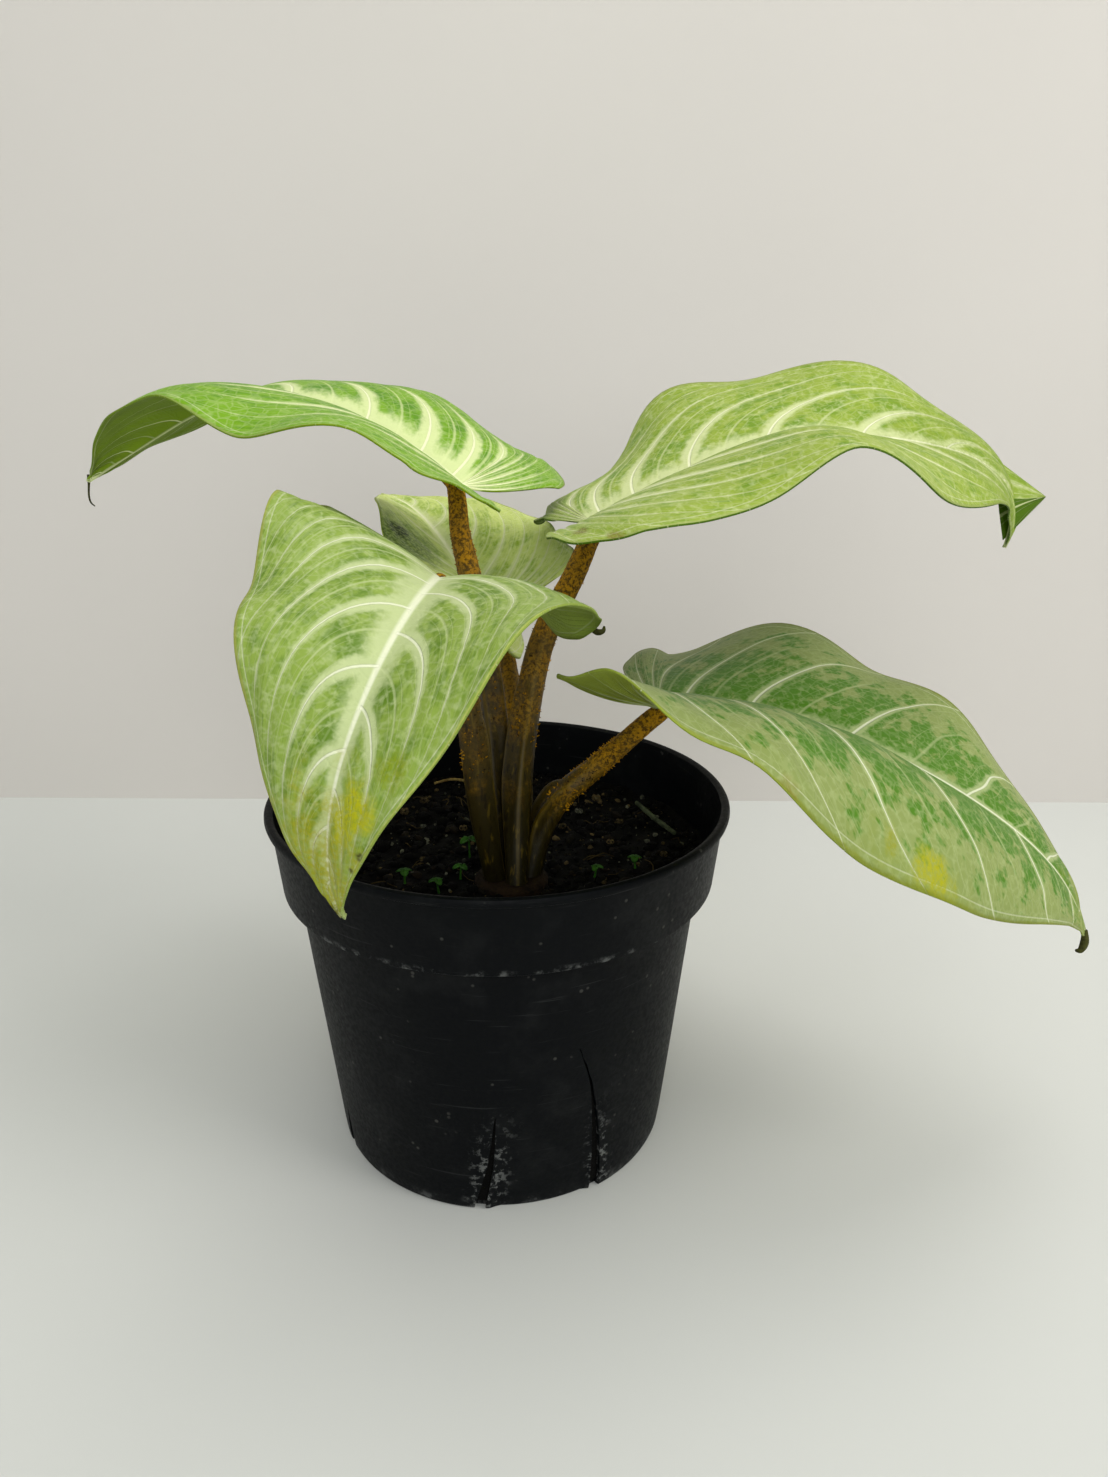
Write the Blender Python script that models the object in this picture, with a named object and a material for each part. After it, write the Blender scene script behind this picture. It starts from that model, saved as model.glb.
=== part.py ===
"""Potted alocasia: five arrow-shaped leaves on fleshy stalks, rooted in a round nursery pot of soil.

Lengths and places are named in millimetres and turned into metres where a mesh is made.
The origin is the centre of the pot's underside, +Z is up and the pot's split side faces -Y.
"""

import math
import random
from dataclasses import dataclass

import bmesh
import bpy
import numpy as np
from mathutils import Matrix, Vector

MM = 0.001
CLEARANCE = 0.3          # gap left between pieces that touch

# Pot
POT_HEIGHT = 120.0
RIM_RADIUS = 75.0
COLLAR_TOP_RADIUS = 73.2
COLLAR_FOOT_RADIUS = 70.8
COLLAR_FOOT_HEIGHT = 93.8
BODY_TOP_RADIUS = 66.0
BASE_RADIUS = 56.0
LIP_DEPTH = 3.2
WALL = 1.5
FLOOR = 2.0
BASE_EDGE = 1.2
POT_SEGMENTS = 48
DRAIN_RADIUS = 5.0
DRAIN_CIRCLE = 40.0
DRAIN_COUNT = 8

# Splits in the wall: (turn from -Y in degrees, height) of each edge, from the top of the split down
SPLIT_EDGES = {
    "middle": (((0.6, 38.0), (-2.2, 18.0), (-7.2, -1.0)), ((0.9, 38.0), (-0.2, 18.0), (-3.4, -1.0))),
    "right": (((24.4, 61.0), (29.3, 44.0), (32.0, 20.0), (32.6, -1.0)),
              ((24.8, 61.0), (30.4, 44.0), (34.6, 20.0), (36.6, -1.0))),
    "left": (((-62.0, 16.0), (-65.5, -1.0)), ((-61.5, 16.0), (-60.5, -1.0))),
}
SPLIT_INNER_RADIUS = 53.5
SPLIT_OUTER_RADIUS = 80.0

# Soil and the short stem that the stalks spring from
SOIL_HEIGHT = 100.0
SOIL_ROUGHNESS = 1.1
CROWN_CENTRE = (5.0, -27.0)
CROWN_TOP = 104.0
CROWN_PROFILE = ((0.0, 104.0), (10.2, 104.0), (11.4, 102.6), (11.8, 96.0), (9.0, 86.0), (0.0, 80.0))
CROWN_SHOULDER = 90.0    # below this the crown narrows to its root end
CROWN_SEGMENTS = 24
SOCKET_OPENING = 4.0     # how far the crown's socket reaches up past the soil
CROWN_MOUND = 1.0        # how far the soil rises around the crown
CROWN_MOUND_REACH = 18.0
SOIL_RINGS = (1.0, 0.87, 0.72, 0.57, 0.42, 0.27, 0.13, 0.0)

# Leaf blades
BLADE_THICKNESS = 0.9
BLADE_ROWS = 16
BLADE_COLUMNS = 8
ROW_BULGE = 0.23         # how far a side vein bows back from its chord
FAN_END = 0.15           # side veins that reach the margin below this share of the length start at the stalk
# Half of the flat blade, margin from the stalk round the back lobe to the tip, in blade lengths
MARGIN = ((0.0, 0.0), (0.045, -0.10), (0.11, -0.20), (0.19, -0.245), (0.27, -0.19), (0.325, -0.04),
          (0.345, 0.13), (0.325, 0.32), (0.27, 0.50), (0.19, 0.68), (0.10, 0.84), (0.035, 0.94), (0.0, 1.0))
LOBE_TIP_POINT = 3
LOBE_REACH = 0.3
MIDRIB_STATIONS = (0.0, 0.25, 0.5, 0.75, 1.0)
FOLD_STATIONS = (0.0, 0.33, 0.67, 1.0)
CURL_STATIONS = (0.0, 0.5, 1.0)

# Leaf stalks
STALK_SIDES = 12
STALK_RINGS = 12
STALK_TOP_DROP = 1.7     # how far a stalk ends below the blade's middle surface
RADIUS_STATIONS = (0.0, 0.25, 0.5, 0.75, 1.0)
SHEATH_EDGE_TURN = 0.75  # radians from the stalk's back to each edge of its sheath
SHEATH_EDGE_WIDTH = 0.35
GROOVE_DEPTH = 0.18      # share of the stalk's radius
GROOVE_WIDTH = 0.4
GROOVE_END = 0.6


@dataclass(frozen=True)
class Side:
    """One half of a blade: angles in degrees, width and lobe as shares, wave as a share of the length."""

    width: float
    fold: tuple
    curl: tuple
    lobe_tilt: float
    lobe_length: float
    wave: tuple          # height in hundredths of the length, count along the blade, phase in turns


@dataclass(frozen=True)
class Blade:
    """Where a blade meets its stalk, how long it is, and how its midrib runs."""

    base: tuple
    length: float
    pitch: tuple
    heading: tuple
    left: Side
    right: Side


@dataclass(frozen=True)
class Stalk:
    """A leaf stalk's centre line, its radii from foot to top, and its sheath's edge."""

    path: tuple
    radii: tuple
    sheath_height: float
    sheath_end: float


BLADES = {
    "left": Blade(
        (-11, 9, 218), 157, (37, 21, -5, -27, -27), (-68, -71, -69, -69, -65),
        Side(0.98, (26, 20, 26, 26), (-12, -55, -22), -23, 0.65, (1.8, 2.84, -0.16)),
        Side(1.08, (32, 20, 13, 10), (-46, -27, -21), -14, 0.51, (1.5, 2.79, 0.59))),
    "right": Blade(
        (29, 2, 208), 166, (28, 20, 0, -17, -109), (75, 77, 82, 82, 88),
        Side(1.06, (13, 21, 35, 35), (-35, -6, -49), -2, 0.25, (2.2, 3.08, 0.34)),
        Side(1.27, (23, 21, -6, -29), (-22, -29, -50), -44, 0.60, (1.6, 1.94, 0.44))),
    "front": Blade(
        (-13, -39, 199), 125, (16, -6, -34, -67, -113), (173, 189, 200, 212, 221),
        Side(1.03, (5, 14, 12, 13), (-57, 0, -33), -20, 0.74, (2.7, 2.23, 0.16)),
        Side(1.03, (42, 34, 22, 2), (-19, -35, -30), -19, 0.57, (2.8, 2.73, 0.79))),
    "low_right": Blade(
        (50, -14, 155), 164, (8, -12, -26, -41, -72), (99, 103, 98, 90, 83),
        Side(1.06, (10, 17, 23, 28), (-10, -6, -41), 3, 0.35, (2.0, 2.54, -0.27)),
        Side(1.34, (28, 28, -3, -37), (-6, -54, -39), -35, 0.75, (2.3, 2.97, 0.54))),
    "back": Blade(
        (-2, 36, 177), 99, (10, 25, 18, 8, -2), (-45, -30, -27, -30, -34),
        Side(0.95, (32, 28, 22, 16), (-24, 5, -26), 51, 1.20, (1.1, 2.20, 0.15)),
        Side(1.01, (40, 31, 17, 5), (-9, -11, -30), -30, 0.97, (1.6, 2.24, -0.13))),
}

STALKS = {
    "left": Stalk(
        ((0.2, -23.4, 104.3), (1.0, -17.5, 125), (-1.5, -9.5, 155), (-7.5, 0.5, 188), (-11, 4.5, 204)),
        (3.3, 4.0, 3.9, 3.2, 2.7), 0.9, 0.50),
    "right": Stalk(
        ((6.8, -32.7, 104.3), (6.9, -25, 127), (8.8, -18, 148), (14, -10.5, 173), (24, -4, 193)),
        (3.3, 4.3, 4.1, 3.5, 2.8), 0.9, 0.50),
    "front": Stalk(
        ((0.1, -30.4, 104.3), (-3.8, -32.5, 131), (-6.2, -35, 157), (-9.6, -37.2, 179)),
        (3.3, 4.0, 3.8, 3.3, 2.8), 0.9, 0.50),
    "low_right": Stalk(
        ((11, -27.1, 104.3), (14, -23.6, 117), (20, -21, 127), (29, -19, 134.8), (38.5, -17, 142.8)),
        (3.3, 3.9, 3.7, 3.2, 2.9), 2.4, 0.46),
    "back": Stalk(
        ((7.0, -21.3, 104.3), (7.6, -12, 121), (6.0, 2, 138), (2.5, 20, 158)),
        (3.3, 3.7, 3.5, 2.9, 2.4), 0.9, 0.50),
}

# Loose things on the soil: places are (x, y)
STONES = (
    ((-35, 26), 2.3), ((33.5, 37), 2.0), ((27, 27), 1.9), ((21, 14), 1.6), ((37, 1), 1.5), ((26, 42), 1.6),
    ((-13, 11), 1.7), ((-29, 35), 2.1), ((-27, 14), 1.4), ((-24, -12), 1.7), ((54, -8), 1.6), ((-48, -8), 2.0),
    ((8, 52), 1.8), ((-8, 40), 1.5), ((-45, 38), 1.9), ((41, 17), 1.8), ((20, -50), 2.1), ((-18, -52), 1.7),
    ((-40, -34), 1.9), ((42, -36), 1.5),
)
SPRIGS = (
    ((-9, -12), 7.5, 3.4), ((-11, -25), 5.0, 2.7), ((-17, -33), 4.5, 2.6),
    ((-28, -28), 4.5, 2.8), ((44, -18), 4.0, 2.6), ((31, -22), 4.0, 2.3),
)
STRAW_PATH = ((-27, 52), (-21, 56), (-14, 54), (-8, 50))
STRAW_RADIUS = 0.6
STICK_PATH = ((48, 33), (53, 20), (59, 7))
STICK_RADIUS = 1.0
ROD_POINTS = 9
SPRIG_STEM_RADIUS = 0.45
SPRIG_THICKNESS = 0.7
STONE_SEED = 7


def clear_scene():
    for old in list(bpy.data.objects):
        bpy.data.objects.remove(old, do_unlink=True)


def finish(name, colour, roughness):
    """A plain material with no metal in it."""
    made = bpy.data.materials.new(name)
    made.use_nodes = True
    shader = made.node_tree.nodes["Principled BSDF"]
    shader.inputs["Base Color"].default_value = (*colour, 1.0)
    shader.inputs["Roughness"].default_value = roughness
    shader.inputs["Metallic"].default_value = 0.0
    return made


def add_object(name, mesh_builder, material, sharp_angle=50.0):
    """Turn a bmesh into a shaded object with its material."""
    mesh = bpy.data.meshes.new(name)
    mesh_builder.to_mesh(mesh)
    mesh_builder.free()
    mesh.shade_smooth()
    mesh.set_sharp_from_angle(angle=math.radians(sharp_angle))
    mesh.materials.append(material)
    made = bpy.data.objects.new(name, mesh)
    bpy.context.scene.collection.objects.link(made)
    return made


def cut(target, cutter):
    """Subtract a hidden cutter from a target."""
    cutter.hide_render = True
    cutter.display_type = "WIRE"
    boolean = target.modifiers.new("Cut " + cutter.name, "BOOLEAN")
    boolean.operation = "DIFFERENCE"
    boolean.solver = "EXACT"
    boolean.object = cutter


def pull(bm, face):
    """Extrude one face and return its new end face; a lone face keeps its underside."""
    lone = all(len(edge.link_faces) == 1 for edge in face.edges)
    grown = bmesh.ops.extrude_face_region(bm, geom=[face])["geom"]
    if not lone:
        bmesh.ops.delete(bm, geom=[face], context="FACES_ONLY")
    return next(part for part in grown if isinstance(part, bmesh.types.BMFace))


def turned(profile, segments, centre=(0.0, 0.0)):
    """Spin a (radius, height) profile about the upright line through centre."""
    bm = bmesh.new()
    corners = [bm.verts.new((centre[0] * MM + radius * MM, centre[1] * MM, height * MM))
               for radius, height in profile]
    for first, second in zip(corners, corners[1:]):
        bm.edges.new((first, second))
    bmesh.ops.spin(bm, geom=bm.verts[:] + bm.edges[:], cent=(centre[0] * MM, centre[1] * MM, 0.0),
                   axis=(0.0, 0.0, 1.0), steps=segments, angle=math.tau, use_merge=True)
    bmesh.ops.remove_doubles(bm, verts=bm.verts[:], dist=0.01 * MM)
    bmesh.ops.recalc_face_normals(bm, faces=bm.faces[:])
    return bm


def body_radius(height):
    """Outer radius of the pot's wall below the collar."""
    return BASE_RADIUS + (BODY_TOP_RADIUS - BASE_RADIUS) * height / COLLAR_FOOT_HEIGHT


def pot_profile():
    """Outside from the floor's centre up to the lip, then down the inside to the floor."""
    lip_foot = POT_HEIGHT - LIP_DEPTH
    inner_collar = COLLAR_FOOT_RADIUS - WALL
    ledge = COLLAR_FOOT_HEIGHT + WALL
    return (
        (0.0, 0.0),
        (BASE_RADIUS - BASE_EDGE, 0.0),
        (BASE_RADIUS, BASE_EDGE),
        (body_radius(50.0), 50.0),
        (BODY_TOP_RADIUS, COLLAR_FOOT_HEIGHT - 0.4),
        (COLLAR_FOOT_RADIUS - 0.5, COLLAR_FOOT_HEIGHT),
        (COLLAR_FOOT_RADIUS, COLLAR_FOOT_HEIGHT + 0.8),
        (COLLAR_TOP_RADIUS, lip_foot),
        (RIM_RADIUS - 0.3, lip_foot + 0.5),
        (RIM_RADIUS, lip_foot + 1.6),
        (RIM_RADIUS - 0.5, POT_HEIGHT - 0.5),
        (RIM_RADIUS - 1.2, POT_HEIGHT),
        (COLLAR_TOP_RADIUS - WALL + 0.8, POT_HEIGHT - 0.4),
        (COLLAR_TOP_RADIUS - WALL, lip_foot),
        (inner_collar, ledge + 0.5),
        (inner_collar - 0.5, ledge),
        (BODY_TOP_RADIUS - WALL, COLLAR_FOOT_HEIGHT),
        (body_radius(50.0) - WALL, 50.0),
        (body_radius(FLOOR) - WALL, FLOOR),
        (0.0, FLOOR),
    )


def wall_cutter(name, left_edge, right_edge, material):
    """A wedge through the wall, bounded by two edges given as (turn, height)."""
    bm = bmesh.new()
    rows = []
    for pair in zip(left_edge, right_edge):
        rows.append([bm.verts.new((math.sin(math.radians(turn)) * SPLIT_INNER_RADIUS * MM,
                                   -math.cos(math.radians(turn)) * SPLIT_INNER_RADIUS * MM, height * MM))
                     for turn, height in pair])
    for upper, lower in zip(rows, rows[1:]):
        bm.faces.new((upper[0], upper[1], lower[1], lower[0]))
    grown = bmesh.ops.extrude_face_region(bm, geom=bm.faces[:])["geom"]
    outward = SPLIT_OUTER_RADIUS / SPLIT_INNER_RADIUS
    for vertex in [part for part in grown if isinstance(part, bmesh.types.BMVert)]:
        vertex.co.x *= outward
        vertex.co.y *= outward
    bmesh.ops.triangulate(bm, faces=bm.faces[:])
    bmesh.ops.recalc_face_normals(bm, faces=bm.faces[:])
    return add_object(name, bm, material)


def drain_cutter(material):
    """All the drain holes as one hidden cutter of separate pins."""
    bm = bmesh.new()
    for index in range(DRAIN_COUNT):
        angle = math.tau * (index + 0.5) / DRAIN_COUNT
        place = Vector((math.cos(angle), math.sin(angle), 0.0)) * DRAIN_CIRCLE * MM
        bmesh.ops.create_cone(bm, cap_ends=True, segments=16, radius1=DRAIN_RADIUS * MM,
                              radius2=DRAIN_RADIUS * MM, depth=4.0 * FLOOR * MM,
                              matrix=Matrix.Translation(place))
    return add_object("drain_cutter", bm, material)


def make_pot():
    plastic = finish("Pot plastic", (0.018, 0.021, 0.024), 0.5)
    pot = add_object("pot", turned(pot_profile(), POT_SEGMENTS), plastic, 30.0)
    for name, (left_edge, right_edge) in SPLIT_EDGES.items():
        cut(pot, wall_cutter("split_cutter_" + name, left_edge, right_edge, plastic))
    cut(pot, drain_cutter(plastic))


def crown_profile(grow):
    """The crown's outline, grown all round to make its socket."""
    grown = []
    for radius, height in CROWN_PROFILE:
        lift = grow if height >= CROWN_TOP else -grow if height < CROWN_SHOULDER else 0.0
        grown.append((radius + grow if radius > 0.1 else 0.0, height + lift))
    return grown


def make_crown():
    bark = finish("Crown skin", (0.10, 0.065, 0.035), 0.8)
    add_object("crown", turned(crown_profile(0.0), CROWN_SEGMENTS, CROWN_CENTRE), bark)


def soil_height(x, y):
    """Height of the soil: low lumps and a slight rise around the crown."""
    lumps = (math.sin(x * 0.21 + 1.3) * math.cos(y * 0.17 - 0.4) * 0.6
             + math.sin(x * 0.47 - y * 0.39) * 0.4)
    away = math.hypot(x - CROWN_CENTRE[0], y - CROWN_CENTRE[1])
    return SOIL_HEIGHT + SOIL_ROUGHNESS * lumps + CROWN_MOUND * math.exp(-(away / CROWN_MOUND_REACH) ** 2)


def make_soil():
    """Soil that fills the pot, with its lumpy top and a socket for the crown."""
    earth = finish("Soil", (0.030, 0.022, 0.016), 0.95)
    top_radius = COLLAR_FOOT_RADIUS - WALL + (COLLAR_TOP_RADIUS - COLLAR_FOOT_RADIUS) * 0.2 - CLEARANCE
    ledge = COLLAR_FOOT_HEIGHT + WALL + CLEARANCE + 0.4
    top_rings = [(top_radius * share, SOIL_HEIGHT) for share in SOIL_RINGS]
    profile = [
        (0.0, FLOOR + CLEARANCE),
        (body_radius(FLOOR) - WALL - CLEARANCE, FLOOR + CLEARANCE),
        (BODY_TOP_RADIUS - WALL - CLEARANCE, COLLAR_FOOT_HEIGHT + CLEARANCE),
        (top_radius - 0.7, ledge),
    ] + top_rings
    bm = turned(profile, POT_SEGMENTS)
    for vertex in bm.verts:
        if vertex.co.z > (SOIL_HEIGHT - 0.5) * MM:
            vertex.co.z = soil_height(vertex.co.x / MM, vertex.co.y / MM) * MM
    soil = add_object("soil", bm, earth)
    socket_profile = crown_profile(CLEARANCE)
    raised = [(radius, height + SOCKET_OPENING if height > CROWN_TOP else height)
              for radius, height in socket_profile]
    cut(soil, add_object("crown_socket", turned(raised, CROWN_SEGMENTS, CROWN_CENTRE), earth))


def read_between(stations, values, at):
    """Smooth curve through values at stations that never overshoots, read at one or many places."""
    places = np.asarray(stations, float)
    heights = np.asarray(values, float)
    widths = np.diff(places)
    slopes = np.diff(heights) / widths
    tangents = np.zeros_like(heights)
    tangents[0] = slopes[0]
    tangents[-1] = slopes[-1]
    for index in range(1, len(heights) - 1):
        before, after = slopes[index - 1], slopes[index]
        if before * after > 0.0:
            tangents[index] = 2.0 * before * after / (before + after)
    at = np.clip(at, places[0], places[-1])
    index = np.clip(np.searchsorted(places, at) - 1, 0, len(widths) - 1)
    width = widths[index]
    t = (at - places[index]) / width
    return (heights[index] * (1.0 + 2.0 * t) * (1.0 - t) ** 2 + heights[index + 1] * t * t * (3.0 - 2.0 * t)
            + tangents[index] * width * t * (1.0 - t) ** 2 + tangents[index + 1] * width * t * t * (t - 1.0))


def through_points(points, at):
    """Catmull-Rom curve through points, read at a share 0 to 1 of its spans."""
    points = [np.asarray(point, float) for point in points]
    points = [2 * points[0] - points[1]] + points + [2 * points[-1] - points[-2]]
    spans = len(points) - 3
    index = min(int(at * spans), spans - 1)
    t = at * spans - index
    a, b, c, d = points[index:index + 4]
    square = 2 * a - 5 * b + 4 * c - d
    cube = 3 * b - a - 3 * c + d
    return 0.5 * (2 * b + (c - a) * t + square * t * t + cube * t ** 3)


def direction(heading, pitch):
    """Unit vectors for headings turned from +Y towards +X and pitches above level, in radians."""
    level = np.cos(pitch)
    return np.stack([np.sin(heading) * level, np.cos(heading) * level, np.sin(pitch)], axis=-1)


def run_line(tangents, step):
    """Sum unit tangents into a line that starts at zero."""
    line = np.zeros_like(tangents)
    line[1:] = np.cumsum((tangents[1:] + tangents[:-1]) / 2.0, axis=0) * step
    return line


class BentBlade:
    """Bends the flat blade: the midrib is a line in space and each half turns away from it."""

    SAMPLES = 80

    def __init__(self, blade):
        self.blade = blade
        self.share = np.linspace(0.0, 1.0, self.SAMPLES + 1)
        pitch = np.radians(read_between(MIDRIB_STATIONS, blade.pitch, self.share))
        self.heading = np.radians(read_between(MIDRIB_STATIONS, blade.heading, self.share))
        self.tangent = direction(self.heading, pitch)
        self.midrib = run_line(self.tangent, 1.0 / self.SAMPLES)

    def lobe_frame(self, half, back):
        """Middle line and tangent at a distance back from the stalk, inside a lobe."""
        steps = np.linspace(0.0, back, 9)
        pitch = np.radians(self.blade.pitch[0] + half.lobe_tilt * steps / LOBE_REACH)
        tangents = direction(np.full(9, self.heading[0]), pitch)
        return -run_line(tangents, back / 8.0)[-1], tangents[-1]

    def point(self, across, along):
        """Place of a flat point: across from the midrib (left is negative) and along it, in blade lengths."""
        half = self.blade.left if across < 0.0 else self.blade.right
        side = -1.0 if across < 0.0 else 1.0
        reach = along * half.lobe_length if along < 0.0 else along
        if reach < 0.0:
            middle, tangent = self.lobe_frame(half, -reach)
            heading = self.heading[0]
        else:
            middle = np.array([np.interp(reach, self.share, self.midrib[:, axis]) for axis in range(3)])
            tangent = np.array([np.interp(reach, self.share, self.tangent[:, axis]) for axis in range(3)])
            tangent /= np.linalg.norm(tangent)
            heading = np.interp(reach, self.share, self.heading)
        sideways = np.array([math.cos(heading), -math.sin(heading), 0.0])
        upward = np.cross(sideways, tangent)
        angle = math.radians(read_between(FOLD_STATIONS, half.fold, reach))
        bend = math.radians(read_between(CURL_STATIONS, half.curl, reach)) / 0.3
        bend = bend if abs(bend) > 0.001 else 0.001
        width = abs(across)
        last = angle + bend * width * half.width
        out = (math.sin(last) - math.sin(angle)) / bend
        rise = (math.cos(angle) - math.cos(last)) / bend
        height, count, phase = half.wave
        ripple = height / 100.0 * math.sin(math.tau * (count * along + phase)) * (width / 0.3) ** 2
        ripple *= min(max((along + 0.25) / 0.3, 0.0), 1.0)
        place = middle + sideways * side * (out - ripple * math.sin(last))
        place += upward * (rise + ripple * math.cos(last))
        return np.array(self.blade.base, float) + place * self.blade.length

    def stalk_seat(self):
        """Point under the blade where the stalk ends, with the blade's upward direction there."""
        sideways = np.array([math.cos(self.heading[0]), -math.sin(self.heading[0]), 0.0])
        upward = np.cross(sideways, self.tangent[0])
        return np.array(self.blade.base, float) - upward * STALK_TOP_DROP, upward


def margin_point(share):
    """Point of the flat half margin, from the lobe's tip (0) to the blade's tip (1)."""
    return through_points(MARGIN[LOBE_TIP_POINT - 1:], (1.0 + share * (len(MARGIN) - LOBE_TIP_POINT - 1))
                          / (len(MARGIN) - LOBE_TIP_POINT))


def flat_point(across, row):
    """Flat place on a row that follows a side vein: across is -1 to 1, row runs from 0 (lobe) to 1 (tip)."""
    edge = margin_point(row)
    start = np.array([0.0, (max(edge[1] - FAN_END, 0.0) / (1.0 - FAN_END)) ** 2])
    chord = edge - start
    bow = (start + edge) / 2.0 + ROW_BULGE * np.array([chord[1], -chord[0]])
    share = abs(across)
    flat = start * (1.0 - share) ** 2 + 2.0 * bow * share * (1.0 - share) + edge * share ** 2
    return (-flat[0] if across < 0.0 else flat[0]), flat[1]


def make_blade(name, blade, material):
    """A grid bent to the leaf's shape, closed at the stalk and tip, then given its thickness."""
    bent = BentBlade(blade)
    bm = bmesh.new()
    bmesh.ops.create_grid(bm, x_segments=BLADE_COLUMNS, y_segments=BLADE_ROWS, size=1.0)
    for vertex in bm.verts:
        across, along = flat_point(vertex.co.x, (vertex.co.y + 1.0) / 2.0)
        vertex.co = Vector(bent.point(across, along)) * MM
    bmesh.ops.remove_doubles(bm, verts=bm.verts[:], dist=0.02 * MM)
    bmesh.ops.recalc_face_normals(bm, faces=bm.faces[:])
    made = add_object("leaf_blade_" + name, bm, material)
    solidify = made.modifiers.new("Thickness", "SOLIDIFY")
    solidify.thickness = BLADE_THICKNESS * MM
    solidify.offset = 0.0


def sheath_ridge(share, stalk):
    """Height of the sheath's two edges along the stalk."""
    if share > stalk.sheath_end:
        return 0.0
    rise = min(max((share - 0.10) / 0.16, 0.0), 1.0)
    fall = min((stalk.sheath_end - share) / 0.07, 1.0)
    return stalk.sheath_height * rise * math.sqrt(fall)


def make_stalk(name, stalk, blade, material):
    """Extrude a disc ring by ring along the stalk, from the crown to just under its blade."""
    seat, blade_up = BentBlade(blade).stalk_seat()
    path = list(stalk.path) + [tuple(seat)]
    outward = np.array(path[-1]) - np.array(path[0])
    outward[2] = 0.0
    bm = bmesh.new()
    bmesh.ops.create_circle(bm, cap_ends=True, segments=STALK_SIDES, radius=1.0)
    cap = bm.faces[:][0]
    corner_of = bm.verts.layers.int.new("corner")
    for corner, vertex in enumerate(cap.verts):
        vertex[corner_of] = corner
    for ring in range(STALK_RINGS + 1):
        share = ring / STALK_RINGS
        centre = through_points(path, share)
        tangent = through_points(path, min(share + 0.01, 1.0)) - through_points(path, max(share - 0.01, 0.0))
        tangent /= np.linalg.norm(tangent)
        plane = np.array([0.0, 0.0, 1.0]) if ring == 0 else blade_up if ring == STALK_RINGS else tangent
        back = np.cross(tangent, np.cross(outward, tangent))
        back /= -np.linalg.norm(back)
        side = np.cross(tangent, back)
        radius = read_between(RADIUS_STATIONS, stalk.radii, share)
        ridge = sheath_ridge(share, stalk)
        groove = GROOVE_DEPTH * max(1.0 - share / GROOVE_END, 0.0) * min(share / 0.1, 1.0)
        if ring > 0:
            cap = pull(bm, cap)
        for vertex in cap.verts:
            angle = math.tau * vertex[corner_of] / STALK_SIDES
            from_back = abs(math.remainder(angle, math.tau))
            swell = ridge * math.exp(-((from_back - SHEATH_EDGE_TURN) / SHEATH_EDGE_WIDTH) ** 2)
            dip = groove * radius * math.exp(-(from_back / GROOVE_WIDTH) ** 2)
            arm = (back * math.cos(angle) + side * math.sin(angle)) * (radius + swell - dip)
            arm = arm - tangent * np.dot(arm, plane) / np.dot(tangent, plane)
            vertex.co = Vector(centre + arm) * MM
    bmesh.ops.recalc_face_normals(bm, faces=bm.faces[:])
    add_object("petiole_" + name, bm, material)


def make_leaves():
    blade_skin = finish("Leaf blade", (0.42, 0.55, 0.24), 0.45)
    stalk_skin = finish("Leaf stalk", (0.22, 0.20, 0.07), 0.7)
    for name, blade in BLADES.items():
        make_blade(name, blade, blade_skin)
        make_stalk(name, STALKS[name], blade, stalk_skin)


def top_of_soil(x, y, reach):
    """Highest soil within reach of a place."""
    ring = [(x + reach * math.cos(turn * math.tau / 12), y + reach * math.sin(turn * math.tau / 12))
            for turn in range(12)]
    return max(soil_height(*place) for place in ring + [(x, y)])


def make_stones():
    """Rounded, slightly flattened stones that lie on the soil."""
    grit = finish("Grit", (0.42, 0.36, 0.27), 0.9)
    chance = random.Random(STONE_SEED)
    for index, ((x, y), radius) in enumerate(STONES, start=1):
        bm = bmesh.new()
        bmesh.ops.create_icosphere(bm, subdivisions=1, radius=radius * MM)
        stretch = (chance.uniform(0.9, 1.25), chance.uniform(0.8, 1.1), chance.uniform(0.6, 0.8))
        for vertex in bm.verts:
            bump = chance.uniform(0.9, 1.08)
            vertex.co = Vector([part * share * bump for part, share in zip(vertex.co, stretch)])
        lowest = min(vertex.co.z for vertex in bm.verts)
        rest = (top_of_soil(x, y, radius) + CLEARANCE + 0.1) * MM - lowest
        bmesh.ops.rotate(bm, cent=(0, 0, 0), matrix=Matrix.Rotation(chance.uniform(0.0, math.tau), 3, "Z"),
                         verts=bm.verts[:])
        bmesh.ops.translate(bm, vec=(x * MM, y * MM, rest), verts=bm.verts[:])
        add_object(f"grit_stone_{index:02d}", bm, grit)


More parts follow.
